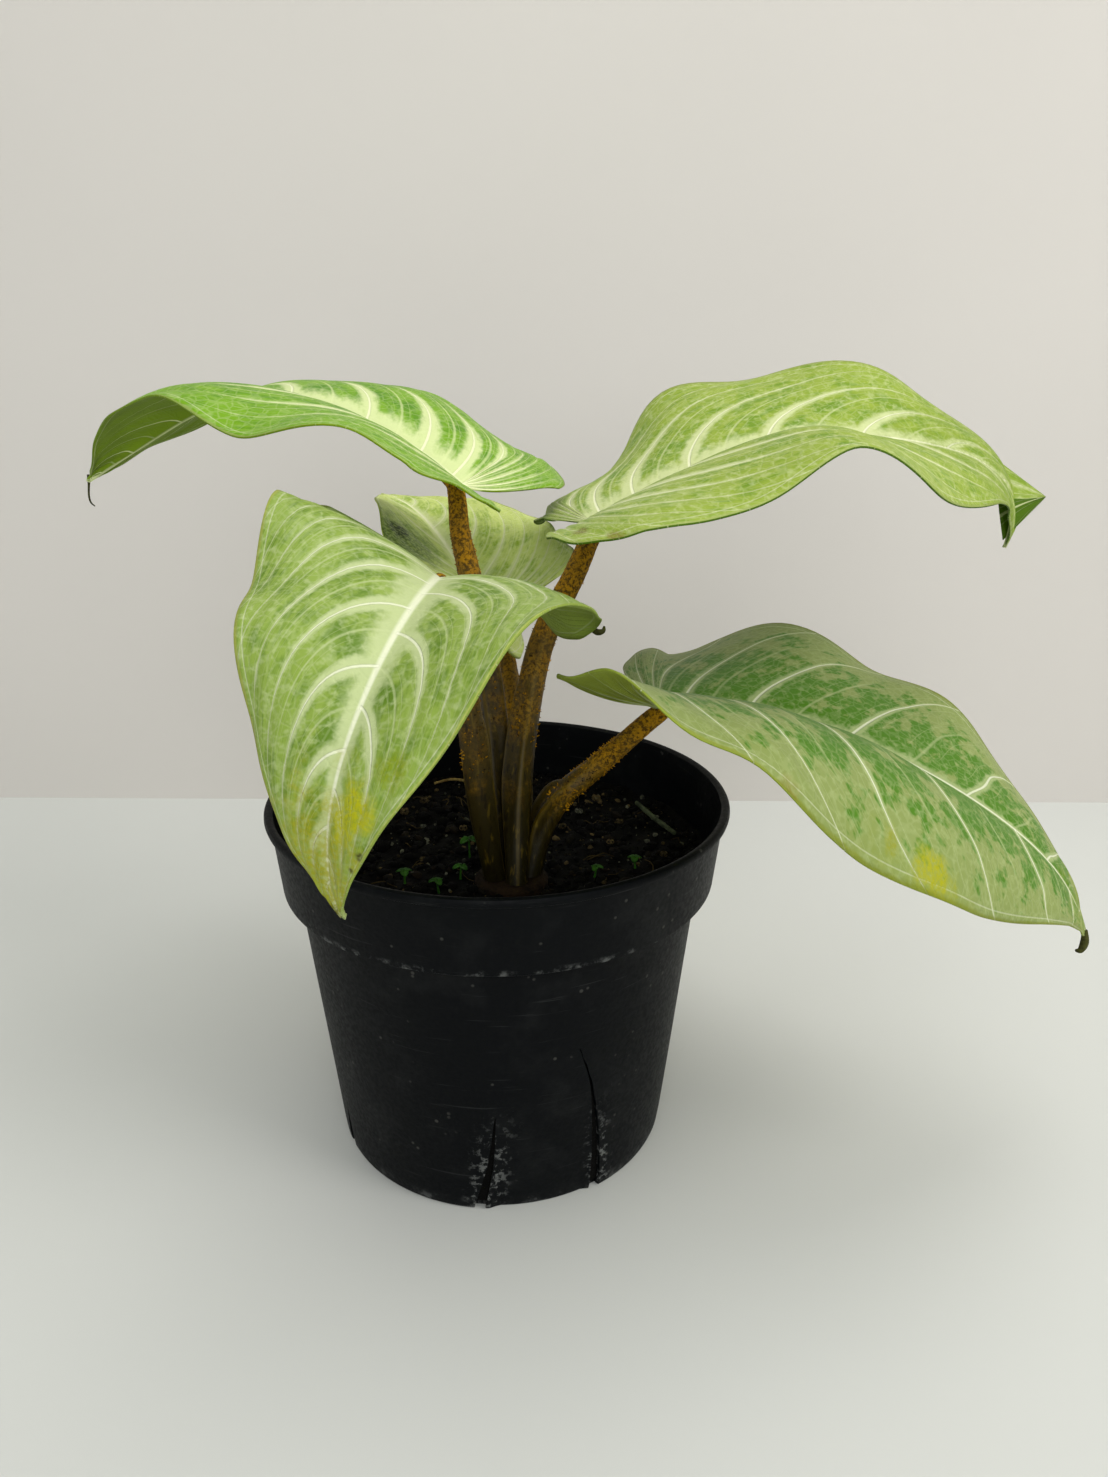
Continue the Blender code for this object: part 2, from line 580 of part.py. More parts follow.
def make_sprigs():
    """Clover seedlings: a three-lobed leaf on a thin stalk that stands on the soil."""
    clover = finish("Seedling", (0.10, 0.22, 0.06), 0.6)
    for index, ((x, y), height, radius) in enumerate(SPRIGS, start=1):
        bm = bmesh.new()
        bmesh.ops.create_circle(bm, cap_ends=True, segments=18, radius=1.0)
        leaf = bm.faces[:][0]
        ground = top_of_soil(x, y, 2.0) + CLEARANCE + 0.2
        for vertex in leaf.verts:
            angle = math.atan2(vertex.co.y, vertex.co.x)
            reach = radius * (0.72 + 0.28 * math.cos(3.0 * angle + index))
            vertex.co = Vector((x + reach * math.cos(angle), y + reach * math.sin(angle),
                                ground + height)) * MM
        under = pull(bm, leaf)
        for vertex in under.verts:
            vertex.co.z -= SPRIG_THICKNESS * MM
        bmesh.ops.inset_individual(bm, faces=[under], thickness=radius * 0.25 * MM)
        foot = pull(bm, under)
        for vertex in foot.verts:
            arm = Vector((vertex.co.x / MM - x, vertex.co.y / MM - y))
            arm = arm.normalized() * SPRIG_STEM_RADIUS
            vertex.co = Vector((x + arm.x, y + arm.y, ground + height - SPRIG_THICKNESS - 0.5)) * MM
        foot = pull(bm, foot)
        for vertex in foot.verts:
            vertex.co.z = ground * MM
        bmesh.ops.recalc_face_normals(bm, faces=bm.faces[:])
        add_object(f"clover_sprig_{index}", bm, clover)


def make_rod(name, path, radius, material):
    """A thin rod that lies along the soil: a poly curve with a round bevel and closed ends."""
    curve = bpy.data.curves.new(name, "CURVE")
    curve.dimensions = "3D"
    curve.bevel_depth = radius * MM
    curve.bevel_resolution = 2
    curve.use_fill_caps = True
    level = max(top_of_soil(x, y, 4.0) for x, y in path) + radius + CLEARANCE + 0.2
    spline = curve.splines.new("POLY")
    spline.points.add(ROD_POINTS - 1)
    for index in range(ROD_POINTS):
        x, y, z = through_points([(*place, level) for place in path], index / (ROD_POINTS - 1))
        spline.points[index].co = (x * MM, y * MM, z * MM, 1.0)
    curve.materials.append(material)
    made = bpy.data.objects.new(name, curve)
    bpy.context.scene.collection.objects.link(made)


def make_litter():
    make_rod("dry_straw", STRAW_PATH, STRAW_RADIUS, finish("Straw", (0.42, 0.34, 0.18), 0.8))
    make_rod("green_stick", STICK_PATH, STICK_RADIUS, finish("Green stick", (0.13, 0.17, 0.10), 0.8))


def main():
    clear_scene()
    make_pot()
    make_crown()
    make_soil()
    make_leaves()
    make_stones()
    make_sprigs()
    make_litter()


main()
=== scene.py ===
"""Looks of a potted alocasia: veined arrow leaves on scurfy stalks, rooted in a black nursery pot.

Lengths are named in millimetres and turned into metres where a mesh is made. The frame's origin is the
centre of the pot's underside, +Z is up and the pot's split side faces -Y.
"""

import logging
import math
import random
from dataclasses import dataclass, field
from enum import Enum

import bmesh
import bpy
import numpy as np
from mathutils import Matrix, Vector, noise


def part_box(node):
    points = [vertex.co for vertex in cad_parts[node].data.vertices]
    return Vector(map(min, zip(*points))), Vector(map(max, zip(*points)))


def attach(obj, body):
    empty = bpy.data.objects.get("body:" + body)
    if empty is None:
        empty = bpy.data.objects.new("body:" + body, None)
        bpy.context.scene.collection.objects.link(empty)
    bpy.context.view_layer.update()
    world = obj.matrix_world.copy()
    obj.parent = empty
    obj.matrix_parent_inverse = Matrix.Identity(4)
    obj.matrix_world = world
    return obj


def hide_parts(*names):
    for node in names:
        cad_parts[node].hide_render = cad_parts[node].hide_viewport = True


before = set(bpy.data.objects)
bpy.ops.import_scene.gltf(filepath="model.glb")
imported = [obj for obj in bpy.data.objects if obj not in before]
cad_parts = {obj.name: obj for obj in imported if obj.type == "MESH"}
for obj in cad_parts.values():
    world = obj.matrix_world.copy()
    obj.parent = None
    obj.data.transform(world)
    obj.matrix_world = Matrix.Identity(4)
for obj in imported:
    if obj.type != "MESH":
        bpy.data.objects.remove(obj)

LOG = logging.getLogger("alocasia")
MM = 0.001
BODY = "root"
Colour = tuple[float, float, float]
Place = tuple[float, float, float]
Socket = bpy.types.NodeSocket


def paint(code: str) -> Colour:
    """Turn a display colour such as "A0B060" into linear light.

    Args:
        code: six hexadecimal digits, red first.

    Returns:
        Red, green and blue, each 0 to 1.
    """
    shares = [int(code[start:start + 2], 16) / 255.0 for start in (0, 2, 4)]
    return tuple(s / 12.92 if s <= 0.04045 else ((s + 0.055) / 1.055) ** 2.4 for s in shares)


# ------------------------------------------------------------------ curves through named stations

def read_between(stations: tuple, values: tuple, at: float) -> float:
    """Read a smooth curve that never overshoots its stations.

    Args:
        stations: rising places along the curve.
        values: the curve's value at each station.
        at: where to read it.

    Returns:
        The value there.
    """
    widths = np.diff(np.asarray(stations, float))
    slopes = np.diff(np.asarray(values, float)) / widths
    at = min(max(at, stations[0]), stations[-1])
    index = min(max(int(np.searchsorted(stations, at)) - 1, 0), len(widths) - 1)

    def tangent(station: int) -> float:
        """Slope at a station: the harmonic mean of its neighbours, or level at a turn."""
        if station in (0, len(slopes)):
            return slopes[min(station, len(slopes) - 1)]
        before, after = slopes[station - 1], slopes[station]
        return 2.0 * before * after / (before + after) if before * after > 0.0 else 0.0

    width = widths[index]
    t = (at - stations[index]) / width
    return (values[index] * (1.0 + 2.0 * t) * (1.0 - t) ** 2 + values[index + 1] * t * t * (3.0 - 2.0 * t)
            + tangent(index) * width * t * (1.0 - t) ** 2 + tangent(index + 1) * width * t * t * (t - 1.0))


def through_points(points: list, at: float) -> np.ndarray:
    """Read a Catmull-Rom curve.

    Args:
        points: the points that the curve passes.
        at: share 0 to 1 of its spans.

    Returns:
        The point there.
    """
    places = [np.asarray(point, float) for point in points]
    places = [2 * places[0] - places[1]] + places + [2 * places[-1] - places[-2]]
    spans = len(places) - 3
    index = min(int(at * spans), spans - 1)
    t = at * spans - index
    a, b, c, d = places[index:index + 4]
    square = 2 * a - 5 * b + 4 * c - d
    cube = 3 * b - a - 3 * c + d
    return 0.5 * (2 * b + (c - a) * t + square * t * t + cube * t ** 3)


def smooth_step(low: float, high: float, value: float) -> float:
    """Rise smoothly from 0 at low to 1 at high."""
    t = min(max((value - low) / (high - low), 0.0), 1.0)
    return t * t * (3.0 - 2.0 * t)


def direction(heading: np.ndarray, pitch: np.ndarray) -> np.ndarray:
    """Unit vectors for headings turned from +Y towards +X and pitches above level, in radians."""
    level = np.cos(pitch)
    return np.stack([np.sin(heading) * level, np.cos(heading) * level, np.sin(pitch)], axis=-1)


def run_line(tangents: np.ndarray, step: float) -> np.ndarray:
    """Sum unit tangents into a line that starts at zero."""
    line = np.zeros_like(tangents)
    line[1:] = np.cumsum((tangents[1:] + tangents[:-1]) / 2.0, axis=0) * step
    return line


# ------------------------------------------------------------------ shader graphs

class Graph:
    """Adds shader nodes to one node tree and joins them."""

    def __init__(self, tree: bpy.types.NodeTree) -> None:
        """Keep the tree that the nodes go into."""
        self.tree = tree

    def add(self, kind: str, **settings: object) -> bpy.types.Node:
        """Add a node of a kind and set its named properties."""
        made = self.tree.nodes.new(kind)
        for name, value in settings.items():
            setattr(made, name, value)
        return made

    def feed(self, socket: Socket, value: object) -> None:
        """Link a socket's source, or set its constant.

        Args:
            socket: the socket to feed.
            value: another node's socket, a colour or a number.
        """
        if isinstance(value, bpy.types.NodeSocket):
            self.tree.links.new(value, socket)
        elif socket.type == "RGBA":
            socket.default_value = (*value[:3], 1.0)
        else:
            socket.default_value = value

    def maths(self, operation: str, *values: object) -> Socket:
        """Work out one number from up to three.

        Args:
            operation: Blender's name of the sum.
            values: sockets or numbers that go in.

        Returns:
            The result.
        """
        made = self.add("ShaderNodeMath", operation=operation)
        for socket, value in zip(made.inputs, values):
            self.feed(socket, value)
        return made.outputs[0]

    def span(self, value: object, low: object, high: object, start: object = 0.0,
             end: object = 1.0) -> Socket:
        """Map a value smoothly from one range onto another.

        Args:
            value: the value.
            low: where its range starts.
            high: where its range ends.
            start: result at and before low.
            end: result at and past high.

        Returns:
            The mapped value.
        """
        made = self.add("ShaderNodeMapRange", interpolation_type="SMOOTHSTEP")
        for socket, given in zip(made.inputs, (value, low, high, start, end)):
            self.feed(socket, given)
        return made.outputs[0]

    def blend(self, mask: object, first: object, second: object) -> Socket:
        """Mix two colours.

        Args:
            mask: how much of the second shows, 0 to 1.
            first: colour where the mask is 0.
            second: colour where the mask is 1.

        Returns:
            The mixed colour.
        """
        made = self.add("ShaderNodeMix", data_type="RGBA", clamp_factor=True)
        self.feed(made.inputs[0], mask)
        self.feed(made.inputs[6], first)
        self.feed(made.inputs[7], second)
        return made.outputs[2]

    def vector(self, x: object, y: object, z: object = 0.0) -> Socket:
        """Put three numbers together."""
        made = self.add("ShaderNodeCombineXYZ")
        for socket, value in zip(made.inputs, (x, y, z)):
            self.feed(socket, value)
        return made.outputs[0]

    def parts(self, vector: Socket) -> tuple[Socket, Socket, Socket]:
        """Take a vector's three numbers apart and return them."""
        made = self.add("ShaderNodeSeparateXYZ")
        self.feed(made.inputs[0], vector)
        return tuple(made.outputs)

    def grain(self, vector: object, scale: float, detail: float = 3.0, roughness: float = 0.55) -> Socket:
        """Make cloudy noise, about 0.3 to 0.7.

        Args:
            vector: where to read it.
            scale: clouds in one unit of the vector.
            detail: how many finer layers it has.
            roughness: how strong the finer layers are.

        Returns:
            The noise.
        """
        made = self.add("ShaderNodeTexNoise")
        self.feed(made.inputs["Vector"], vector)
        for name, value in (("Scale", scale), ("Detail", detail), ("Roughness", roughness)):
            made.inputs[name].default_value = value
        return made.outputs["Fac"]

    def cells(self, vector: object, scale: float, feature: str = "DISTANCE_TO_EDGE") -> Socket:
        """Measure distance in a cell pattern.

        Args:
            vector: where to read it.
            scale: cells in one unit of the vector.
            feature: which distance, to a cell's edge or to its middle.

        Returns:
            The distance.
        """
        made = self.add("ShaderNodeTexVoronoi", feature=feature)
        self.feed(made.inputs["Vector"], vector)
        made.inputs["Scale"].default_value = scale
        return made.outputs["Distance"]

    def uv(self, name: str) -> tuple[Socket, Socket]:
        """Both numbers of a named UV map."""
        x, y, _ = self.parts(self.add("ShaderNodeUVMap", uv_map=name).outputs[0])
        return x, y

    def here(self) -> Socket:
        """Object coordinates, in metres."""
        return self.add("ShaderNodeTexCoord").outputs["Object"]

    def group(self, tree: bpy.types.NodeTree, **values: object) -> dict[str, Socket]:
        """Place a node group.

        Args:
            tree: the group.
            values: what each of its inputs is fed.

        Returns:
            Its outputs by name.
        """
        made = self.add("ShaderNodeGroup", node_tree=tree)
        for name, value in values.items():
            self.feed(made.inputs[name.replace("_", " ")], value)
        return {socket.name: socket for socket in made.outputs}


def new_group(name: str, inputs: dict[str, str],
              outputs: dict[str, str]) -> tuple[Graph, dict[str, Socket], bpy.types.Node]:
    """Start a node group.

    Args:
        name: the group's name.
        inputs: socket kinds by name.
        outputs: socket kinds by name.

    Returns:
        A graph to fill, the group's inputs by name and the node that its outputs feed.
    """
    tree = bpy.data.node_groups.new(name, "ShaderNodeTree")
    for way, sockets in (("INPUT", inputs), ("OUTPUT", outputs)):
        for label, kind in sockets.items():
            tree.interface.new_socket(label, in_out=way, socket_type="NodeSocket" + kind)
    graph = Graph(tree)
    start = graph.add("NodeGroupInput")
    given = {socket.name: socket for socket in start.outputs if socket.name}
    return graph, given, graph.add("NodeGroupOutput")


def surface(name: str) -> tuple[bpy.types.Material, Graph, bpy.types.Node]:
    """Start a material.

    Args:
        name: the material's name.

    Returns:
        The material, a graph over its nodes and its Principled shader.
    """
    made = bpy.data.materials.new(name)
    made.use_nodes = True
    graph = Graph(made.node_tree)
    return made, graph, made.node_tree.nodes["Principled BSDF"]


def relief(graph: Graph, shader: bpy.types.Node, height: Socket, distance: float) -> None:
    """Bump a shader's normal by a height.

    Args:
        graph: the material's graph.
        shader: its Principled shader.
        height: the height, 0 to 1.
        distance: what a height of 1 stands for, in millimetres.
    """
    bump = graph.add("ShaderNodeBump")
    bump.inputs["Strength"].default_value = 1.0
    bump.inputs["Distance"].default_value = distance * MM
    graph.feed(bump.inputs["Height"], height)
    graph.feed(shader.inputs["Normal"], bump.outputs[0])


# Widths in millimetres; of two, the first is at the midrib or the stalk, the second at the margin or the tip
SIDE_VEIN_WIDTH = (0.62, 0.24)
SIDE_VEIN_CORE = 0.35            # share of a side vein's width at full strength
MIDRIB_WIDTH = (1.25, 0.25)
MIDRIB_CORE = 0.3
MIDRIB_EDGE = 1.5
RIM_VEIN_PLACE = 0.94            # where the vein along the margin runs, as a share of the half blade
RIM_VEIN_WIDTH = (0.1, 0.5)
RIM_VEIN_STRENGTH = 0.4
FINE_VEIN_WIDTH = (0.05, 0.22)
FINE_VEINS_PER_SIDE_VEIN = 4.0
FINE_VEIN_STRENGTH = 0.55
MIDWAY_VEIN_WIDTH = (0.1, 0.75)
VEIN_WANDER = 0.36               # how far side veins stray, as a share of their spacing
WANDER_SCALE = 1.3
HALO_SPACING_SHARE = 0.46        # the widest a halo may be, as a share of the vein spacing
HALO_TAPER = 0.45
HALO_SOFTNESS = (0.65, 1.8)
MIDRIB_HALO = (2.9, 0.4)         # reach of the midrib's halo, in side vein halos
MIDRIB_HALO_SOFTNESS = 1.2
NET_SCALE = 330.0
STREAK_SCALE = (9.0, 70.0)


def build_vein_group() -> bpy.types.NodeTree:
    """Draw a leaf's midrib, side veins and fine net as masks over its flat blade.

    Returns:
        The node group.
    """
    graph, given, out = new_group(
        "Leaf veins",
        {"Across": "Float", "Row": "Float", "Spread": "Float", "Breadth": "Float", "X": "Float", "Y": "Float",
         "Count": "Float", "Shift": "Float", "Sweep": "Float", "Halo": "Float", "Fade": "Float",
         "Length": "Float"},
        {"Midrib": "Float", "Primary": "Float", "Secondary": "Float", "Halo": "Float", "Net": "Float",
         "Streak": "Float"})
    far = graph.maths("ABSOLUTE", given["Across"])
    right = graph.maths("GREATER_THAN", given["Across"], 0.0)
    wander = graph.grain(graph.vector(given["Across"], graph.maths("MULTIPLY", given["Row"], 3.0)),
                         WANDER_SCALE, 1.0)
    swept = graph.maths("SUBTRACT", given["Row"], graph.maths(
        "MULTIPLY", graph.maths("MULTIPLY", far, far), given["Sweep"]))
    phase = graph.maths("MULTIPLY_ADD", swept, given["Count"], graph.maths("MULTIPLY", right, given["Shift"]))
    phase = graph.maths("MULTIPLY_ADD", graph.maths("SUBTRACT", wander, 0.5), VEIN_WANDER, phase)
    pitch = graph.maths("DIVIDE", given["Spread"], given["Count"])

    def line(turns: float, offset: float) -> Socket:
        """Measure the distance to the nearest of evenly counted veins.

        Args:
            turns: veins in each spacing of the side veins.
            offset: how far along the spacing they start.

        Returns:
            The distance in metres.
        """
        turned = graph.maths("MULTIPLY_ADD", phase, turns, offset)
        away = graph.maths("ABSOLUTE", graph.maths("SUBTRACT", graph.maths("FRACT", turned), 0.5))
        return graph.maths("MULTIPLY", away, graph.maths("DIVIDE", pitch, turns))

    primary = line(1.0, 0.0)
    wide = graph.span(far, 0.0, 1.0, SIDE_VEIN_WIDTH[0] * MM, SIDE_VEIN_WIDTH[1] * MM)
    inner = graph.maths("MULTIPLY", wide, SIDE_VEIN_CORE)
    rib = graph.maths("SUBTRACT", 1.0, graph.span(primary, inner, wide))
    rim = graph.maths("ABSOLUTE", graph.maths("SUBTRACT", far, RIM_VEIN_PLACE))
    rim = graph.maths("MULTIPLY", rim, given["Breadth"])
    rim = graph.maths("SUBTRACT", 1.0, graph.span(rim, RIM_VEIN_WIDTH[0] * MM, RIM_VEIN_WIDTH[1] * MM))
    fade = graph.span(far, 0.1, 0.95, 1.0, given["Fade"])
    rib = graph.maths("MULTIPLY", rib, fade)
    rim = graph.maths("MULTIPLY", rim, RIM_VEIN_STRENGTH)
    graph.feed(out.inputs["Primary"], graph.maths("MAXIMUM", rib, rim))

    reach = graph.maths("MINIMUM", graph.maths("MULTIPLY", pitch, HALO_SPACING_SHARE), graph.maths(
        "MULTIPLY", given["Halo"], graph.span(far, 0.3, 1.0, 1.0, HALO_TAPER)))
    glow = graph.maths("SUBTRACT", 1.0, graph.span(primary, 0.0, reach))
    glow = graph.maths("POWER", glow, graph.span(far, 0.05, 0.75, *HALO_SOFTNESS))
    glow = graph.maths("MULTIPLY", glow, fade)

    fine = graph.maths("SUBTRACT", 1.0, graph.span(
        line(FINE_VEINS_PER_SIDE_VEIN, 0.0), FINE_VEIN_WIDTH[0] * MM, FINE_VEIN_WIDTH[1] * MM))
    fine = graph.maths("MULTIPLY", fine, graph.span(far, 0.05, 0.3))
    fine = graph.maths("MULTIPLY", fine, FINE_VEIN_STRENGTH)
    midway = graph.maths("SUBTRACT", 1.0, graph.span(
        line(1.0, 0.5), MIDWAY_VEIN_WIDTH[0] * MM, MIDWAY_VEIN_WIDTH[1] * MM))
    midway = graph.maths("MULTIPLY", midway, graph.span(far, 0.85, 0.45))
    graph.feed(out.inputs["Secondary"], graph.maths("MAXIMUM", fine, midway))

    behind = graph.maths("MINIMUM", given["Y"], 0.0)
    from_rib = graph.maths("SQRT", graph.maths("ADD", graph.maths("MULTIPLY", given["X"], given["X"]),
                                              graph.maths("MULTIPLY", behind, behind)))
    up = graph.maths("DIVIDE", given["Y"], given["Length"])
    wide = graph.span(up, -0.02, 1.0, MIDRIB_WIDTH[0] * MM, MIDRIB_WIDTH[1] * MM)
    midrib = graph.span(from_rib, graph.maths("MULTIPLY", wide, MIDRIB_CORE),
                        graph.maths("MULTIPLY", wide, MIDRIB_EDGE))
    graph.feed(out.inputs["Midrib"], graph.maths("SUBTRACT", 1.0, midrib))
    reach = graph.maths("MULTIPLY", given["Halo"], graph.span(up, 0.15, 0.95, *MIDRIB_HALO))
    near = graph.maths("SUBTRACT", 1.0, graph.span(from_rib, 0.0, reach))
    near = graph.maths("POWER", near, MIDRIB_HALO_SOFTNESS)
    graph.feed(out.inputs["Halo"], graph.maths("MAXIMUM", glow, near))

    web = graph.cells(graph.vector(given["X"], given["Y"]), NET_SCALE)
    graph.feed(out.inputs["Net"], graph.maths("SUBTRACT", 1.0, graph.span(web, 0.02, 0.12)))
    along = graph.vector(graph.maths("MULTIPLY", far, STREAK_SCALE[0]),
                         graph.maths("MULTIPLY", swept, STREAK_SCALE[1]), right)
    graph.feed(out.inputs["Streak"], graph.grain(along, 1.0, 3.0, 0.6))
    return graph.tree


DUST_CLOUD_SCALE = 45.0
SPECK_SCALE = 260.0
SPECK_PATCH_SCALE = 90.0
SCRATCH_STRETCH = (0.35, 9.0)    # along the surface, then across the scratches
SCRATCH_SCALE = 120.0


def build_dust_group() -> bpy.types.NodeTree:
    """Scatter settled dust, specks and thin level scratches.

    Returns:
        The node group.
    """
    graph, given, out = new_group("Dust and specks", {"Vector": "Vector"},
                                  {"Dust": "Float", "Specks": "Float", "Scratches": "Float"})
    cloud = graph.grain(given["Vector"], DUST_CLOUD_SCALE, 5.0, 0.65)
    graph.feed(out.inputs["Dust"], graph.span(cloud, 0.48, 0.72))
    dots = graph.span(graph.cells(given["Vector"], SPECK_SCALE, "F1"), 0.10, 0.2)
    rare = graph.span(graph.grain(given["Vector"], SPECK_PATCH_SCALE, 1.0), 0.55, 0.62)
    graph.feed(out.inputs["Specks"], graph.maths("MULTIPLY", graph.maths("SUBTRACT", 1.0, dots), rare))
    x, y, z = graph.parts(given["Vector"])
    long, thin = SCRATCH_STRETCH
    drawn = graph.vector(graph.maths("MULTIPLY", x, long), graph.maths("MULTIPLY", y, long),
                         graph.maths("MULTIPLY", z, thin))
    graph.feed(out.inputs["Scratches"], graph.span(graph.grain(drawn, SCRATCH_SCALE, 2.0), 0.66, 0.75))
    return graph.tree


VEINS = build_vein_group()
DUST = build_dust_group()


# ------------------------------------------------------------------ finishes

@dataclass(frozen=True)
class Spot:
    """A coloured mark on a blade, placed on the flat leaf in blade lengths, with its size in millimetres."""

    x: float
    y: float
    radius: float
    colour: str
    strength: float = 1.0
    stretch: float = 1.0


@dataclass(frozen=True)
class LeafSkin:
    """Upper and under side of one blade: five colours, then how its veins, mottling and margin run.

    halo is in millimetres; fade is how strong side veins still are at the margin; count is side veins along
    one half, shift sets the right half's veins between the left's, and sweep leans them towards the tip.
    """

    name: str
    green: str
    deep: str
    pale: str
    vein: str
    under: str
    halo: float = 6.0
    halo_strength: float = 0.8
    deep_amount: float = 0.5
    deep_edge: float = 0.16
    near_rib: float = 0.16
    fade: float = 0.55
    haze: float = 0.35
    count: float = 16.0
    shift: float = 0.45
    sweep: float = 0.11
    margin: str = "9AA85A"
    margin_width: float = 0.02
    spots: tuple[Spot, ...] = ()

    SHADOW_SCALE = 95.0
    FRECKLE_SCALE = 420.0
    MARK_SCALE = 170.0
    SPECKLE_SCALE = 900.0
    UNDER_SCALE = 60.0
    MOTTLE_LEVEL = (0.66, 0.22)      # level of the dark mottling, and how far deep_amount lowers it
    NET_STRENGTH = 0.16
    FINE_STRENGTH = 0.5
    SIDE_VEIN_STRENGTH = 0.66
    MIDRIB_STRENGTH = 0.75
    EDGE_STRENGTH = 0.75
    UNDER_VEIN_STRENGTH = 0.9
    UNDER_FINE_STRENGTH = 0.3
    UNDER_LIGHTER = 1.25
    UPPER_RELIEF = 0.35
    UNDER_RELIEF = 0.3

    def masks(self, graph: Graph, length: float) -> tuple[dict[str, Socket], Socket, Socket]:
        """Place the vein group over the blade's own maps.

        Args:
            graph: the material's graph.
            length: the blade's length in millimetres.

        Returns:
            The vein masks, the flat place and the share across the half blade.
        """
        across, row = graph.uv("rows")
        x, y = graph.uv("flat")
        spread, breadth = graph.uv("metric")
        veins = graph.group(VEINS, Across=across, Row=row, Spread=spread, Breadth=breadth, X=x, Y=y,
                            Count=self.count, Shift=self.shift, Sweep=self.sweep, Halo=self.halo * MM,
                            Fade=self.fade, Length=length * MM)
        return veins, graph.vector(x, y), across

    def mottled(self, graph: Graph, veins: dict[str, Socket], far: Socket, shadow: Socket) -> Socket:
        """Mix the two greens, darker in patches drawn out along the side veins.

        Args:
            graph: the material's graph.
            veins: the vein masks.
            far: share across the half blade.
            shadow: broad noise.

        Returns:
            The colour.
        """
        score = graph.maths("MULTIPLY_ADD", graph.maths("SUBTRACT", veins["Streak"], 0.5), 0.7, shadow)
        score = graph.maths("MULTIPLY_ADD", graph.maths("SUBTRACT", 0.45, far), self.near_rib, score)
        level = self.MOTTLE_LEVEL[0] - self.MOTTLE_LEVEL[1] * self.deep_amount
        mask = graph.span(score, level - self.deep_edge, level + self.deep_edge)
        return graph.blend(mask, paint(self.green), paint(self.deep))

    def upper(self, length: float) -> bpy.types.Material:
        """Build the upper side: mottled green with feathered pale veins and this leaf's own marks.

        Args:
            length: the blade's length in millimetres.

        Returns:
            The material.
        """
        made, graph, shader = surface(f"Leaf {self.name} upper")
        veins, flat, across = self.masks(graph, length)
        far = graph.maths("ABSOLUTE", across)
        pale = paint(self.pale)
        shadow = graph.grain(flat, self.SHADOW_SCALE, 4.0, 0.6)
        freckle = graph.grain(flat, self.FRECKLE_SCALE, 2.0, 0.6)
        colour = self.mottled(graph, veins, far, shadow)
        colour = graph.blend(graph.maths("MULTIPLY", graph.span(freckle, 0.48, 0.7), self.haze), colour, pale)
        streak = graph.maths("SUBTRACT", veins["Streak"], 0.5)
        feather = graph.maths("MULTIPLY_ADD", streak, 0.9, veins["Halo"])
        feather = graph.maths("MULTIPLY_ADD", graph.maths("SUBTRACT", freckle, 0.5), 0.5, feather)
        feather = graph.maths("MULTIPLY", graph.span(feather, 0.15, 0.85), self.halo_strength)
        colour = graph.blend(feather, colour, pale)
        for vein, strength, tone in (("Net", self.NET_STRENGTH, self.pale),
                                     ("Secondary", self.FINE_STRENGTH, self.pale),
                                     ("Primary", self.SIDE_VEIN_STRENGTH, self.vein),
                                     ("Midrib", self.MIDRIB_STRENGTH, self.vein)):
            colour = graph.blend(graph.maths("MULTIPLY", veins[vein], strength), colour, paint(tone))
        ragged = graph.maths("SUBTRACT", shadow, 0.5)
        ragged = graph.maths("MULTIPLY_ADD", ragged, 2.5 * self.margin_width, far)
        edge = graph.span(ragged, 1.0 - self.margin_width * 1.3, 1.0 - self.margin_width * 0.4)
        colour = graph.blend(graph.maths("MULTIPLY", edge, self.EDGE_STRENGTH), colour, paint(self.margin))
        for spot in self.spots:
            colour = self.mark(graph, colour, flat, spot, length)
        graph.feed(shader.inputs["Base Color"], colour)
        graph.feed(shader.inputs["Roughness"], graph.span(freckle, 0.3, 0.7, 0.44, 0.6))
        shader.inputs["Specular IOR Level"].default_value = 0.22
        height = graph.maths("MULTIPLY_ADD", veins["Primary"], -0.5, graph.maths("MULTIPLY", freckle, 0.5))
        height = graph.maths("MULTIPLY_ADD", veins["Secondary"], -0.2, height)
        height = graph.maths("MULTIPLY_ADD", veins["Net"], -0.12, height)
        relief(graph, shader, height, self.UPPER_RELIEF)
        return made

    def mark(self, graph: Graph, colour: Socket, flat: Socket, spot: Spot, length: float) -> Socket:
        """Paint one ragged, speckled mark over a colour.

        Args:
            graph: the material's graph.
            colour: what lies under it.
            flat: place on the flat blade, in metres.
            spot: the mark.
            length: the blade's length in millimetres.

        Returns:
            The colour with the mark.
        """
        x, y, _ = graph.parts(flat)
        across = graph.maths("SUBTRACT", x, spot.x * length * MM)
        along = graph.maths("SUBTRACT", y, spot.y * length * MM)
        along = graph.maths("MULTIPLY", along, 1.0 / spot.stretch)
        away = graph.maths("SQRT", graph.maths("ADD", graph.maths("MULTIPLY", across, across),
                                              graph.maths("MULTIPLY", along, along)))
        rough = graph.maths("SUBTRACT", graph.grain(flat, self.MARK_SCALE, 3.0), 0.5)
        ragged = graph.maths("MULTIPLY_ADD", rough, 1.6 * spot.radius * MM, away)
        mask = graph.span(ragged, 0.35 * spot.radius * MM, 1.25 * spot.radius * MM, spot.strength, 0.0)
        speckle = graph.span(graph.grain(flat, self.SPECKLE_SCALE, 2.0), 0.35, 0.62, 0.45, 1.0)
        return graph.blend(graph.maths("MULTIPLY", mask, speckle), colour, paint(spot.colour))

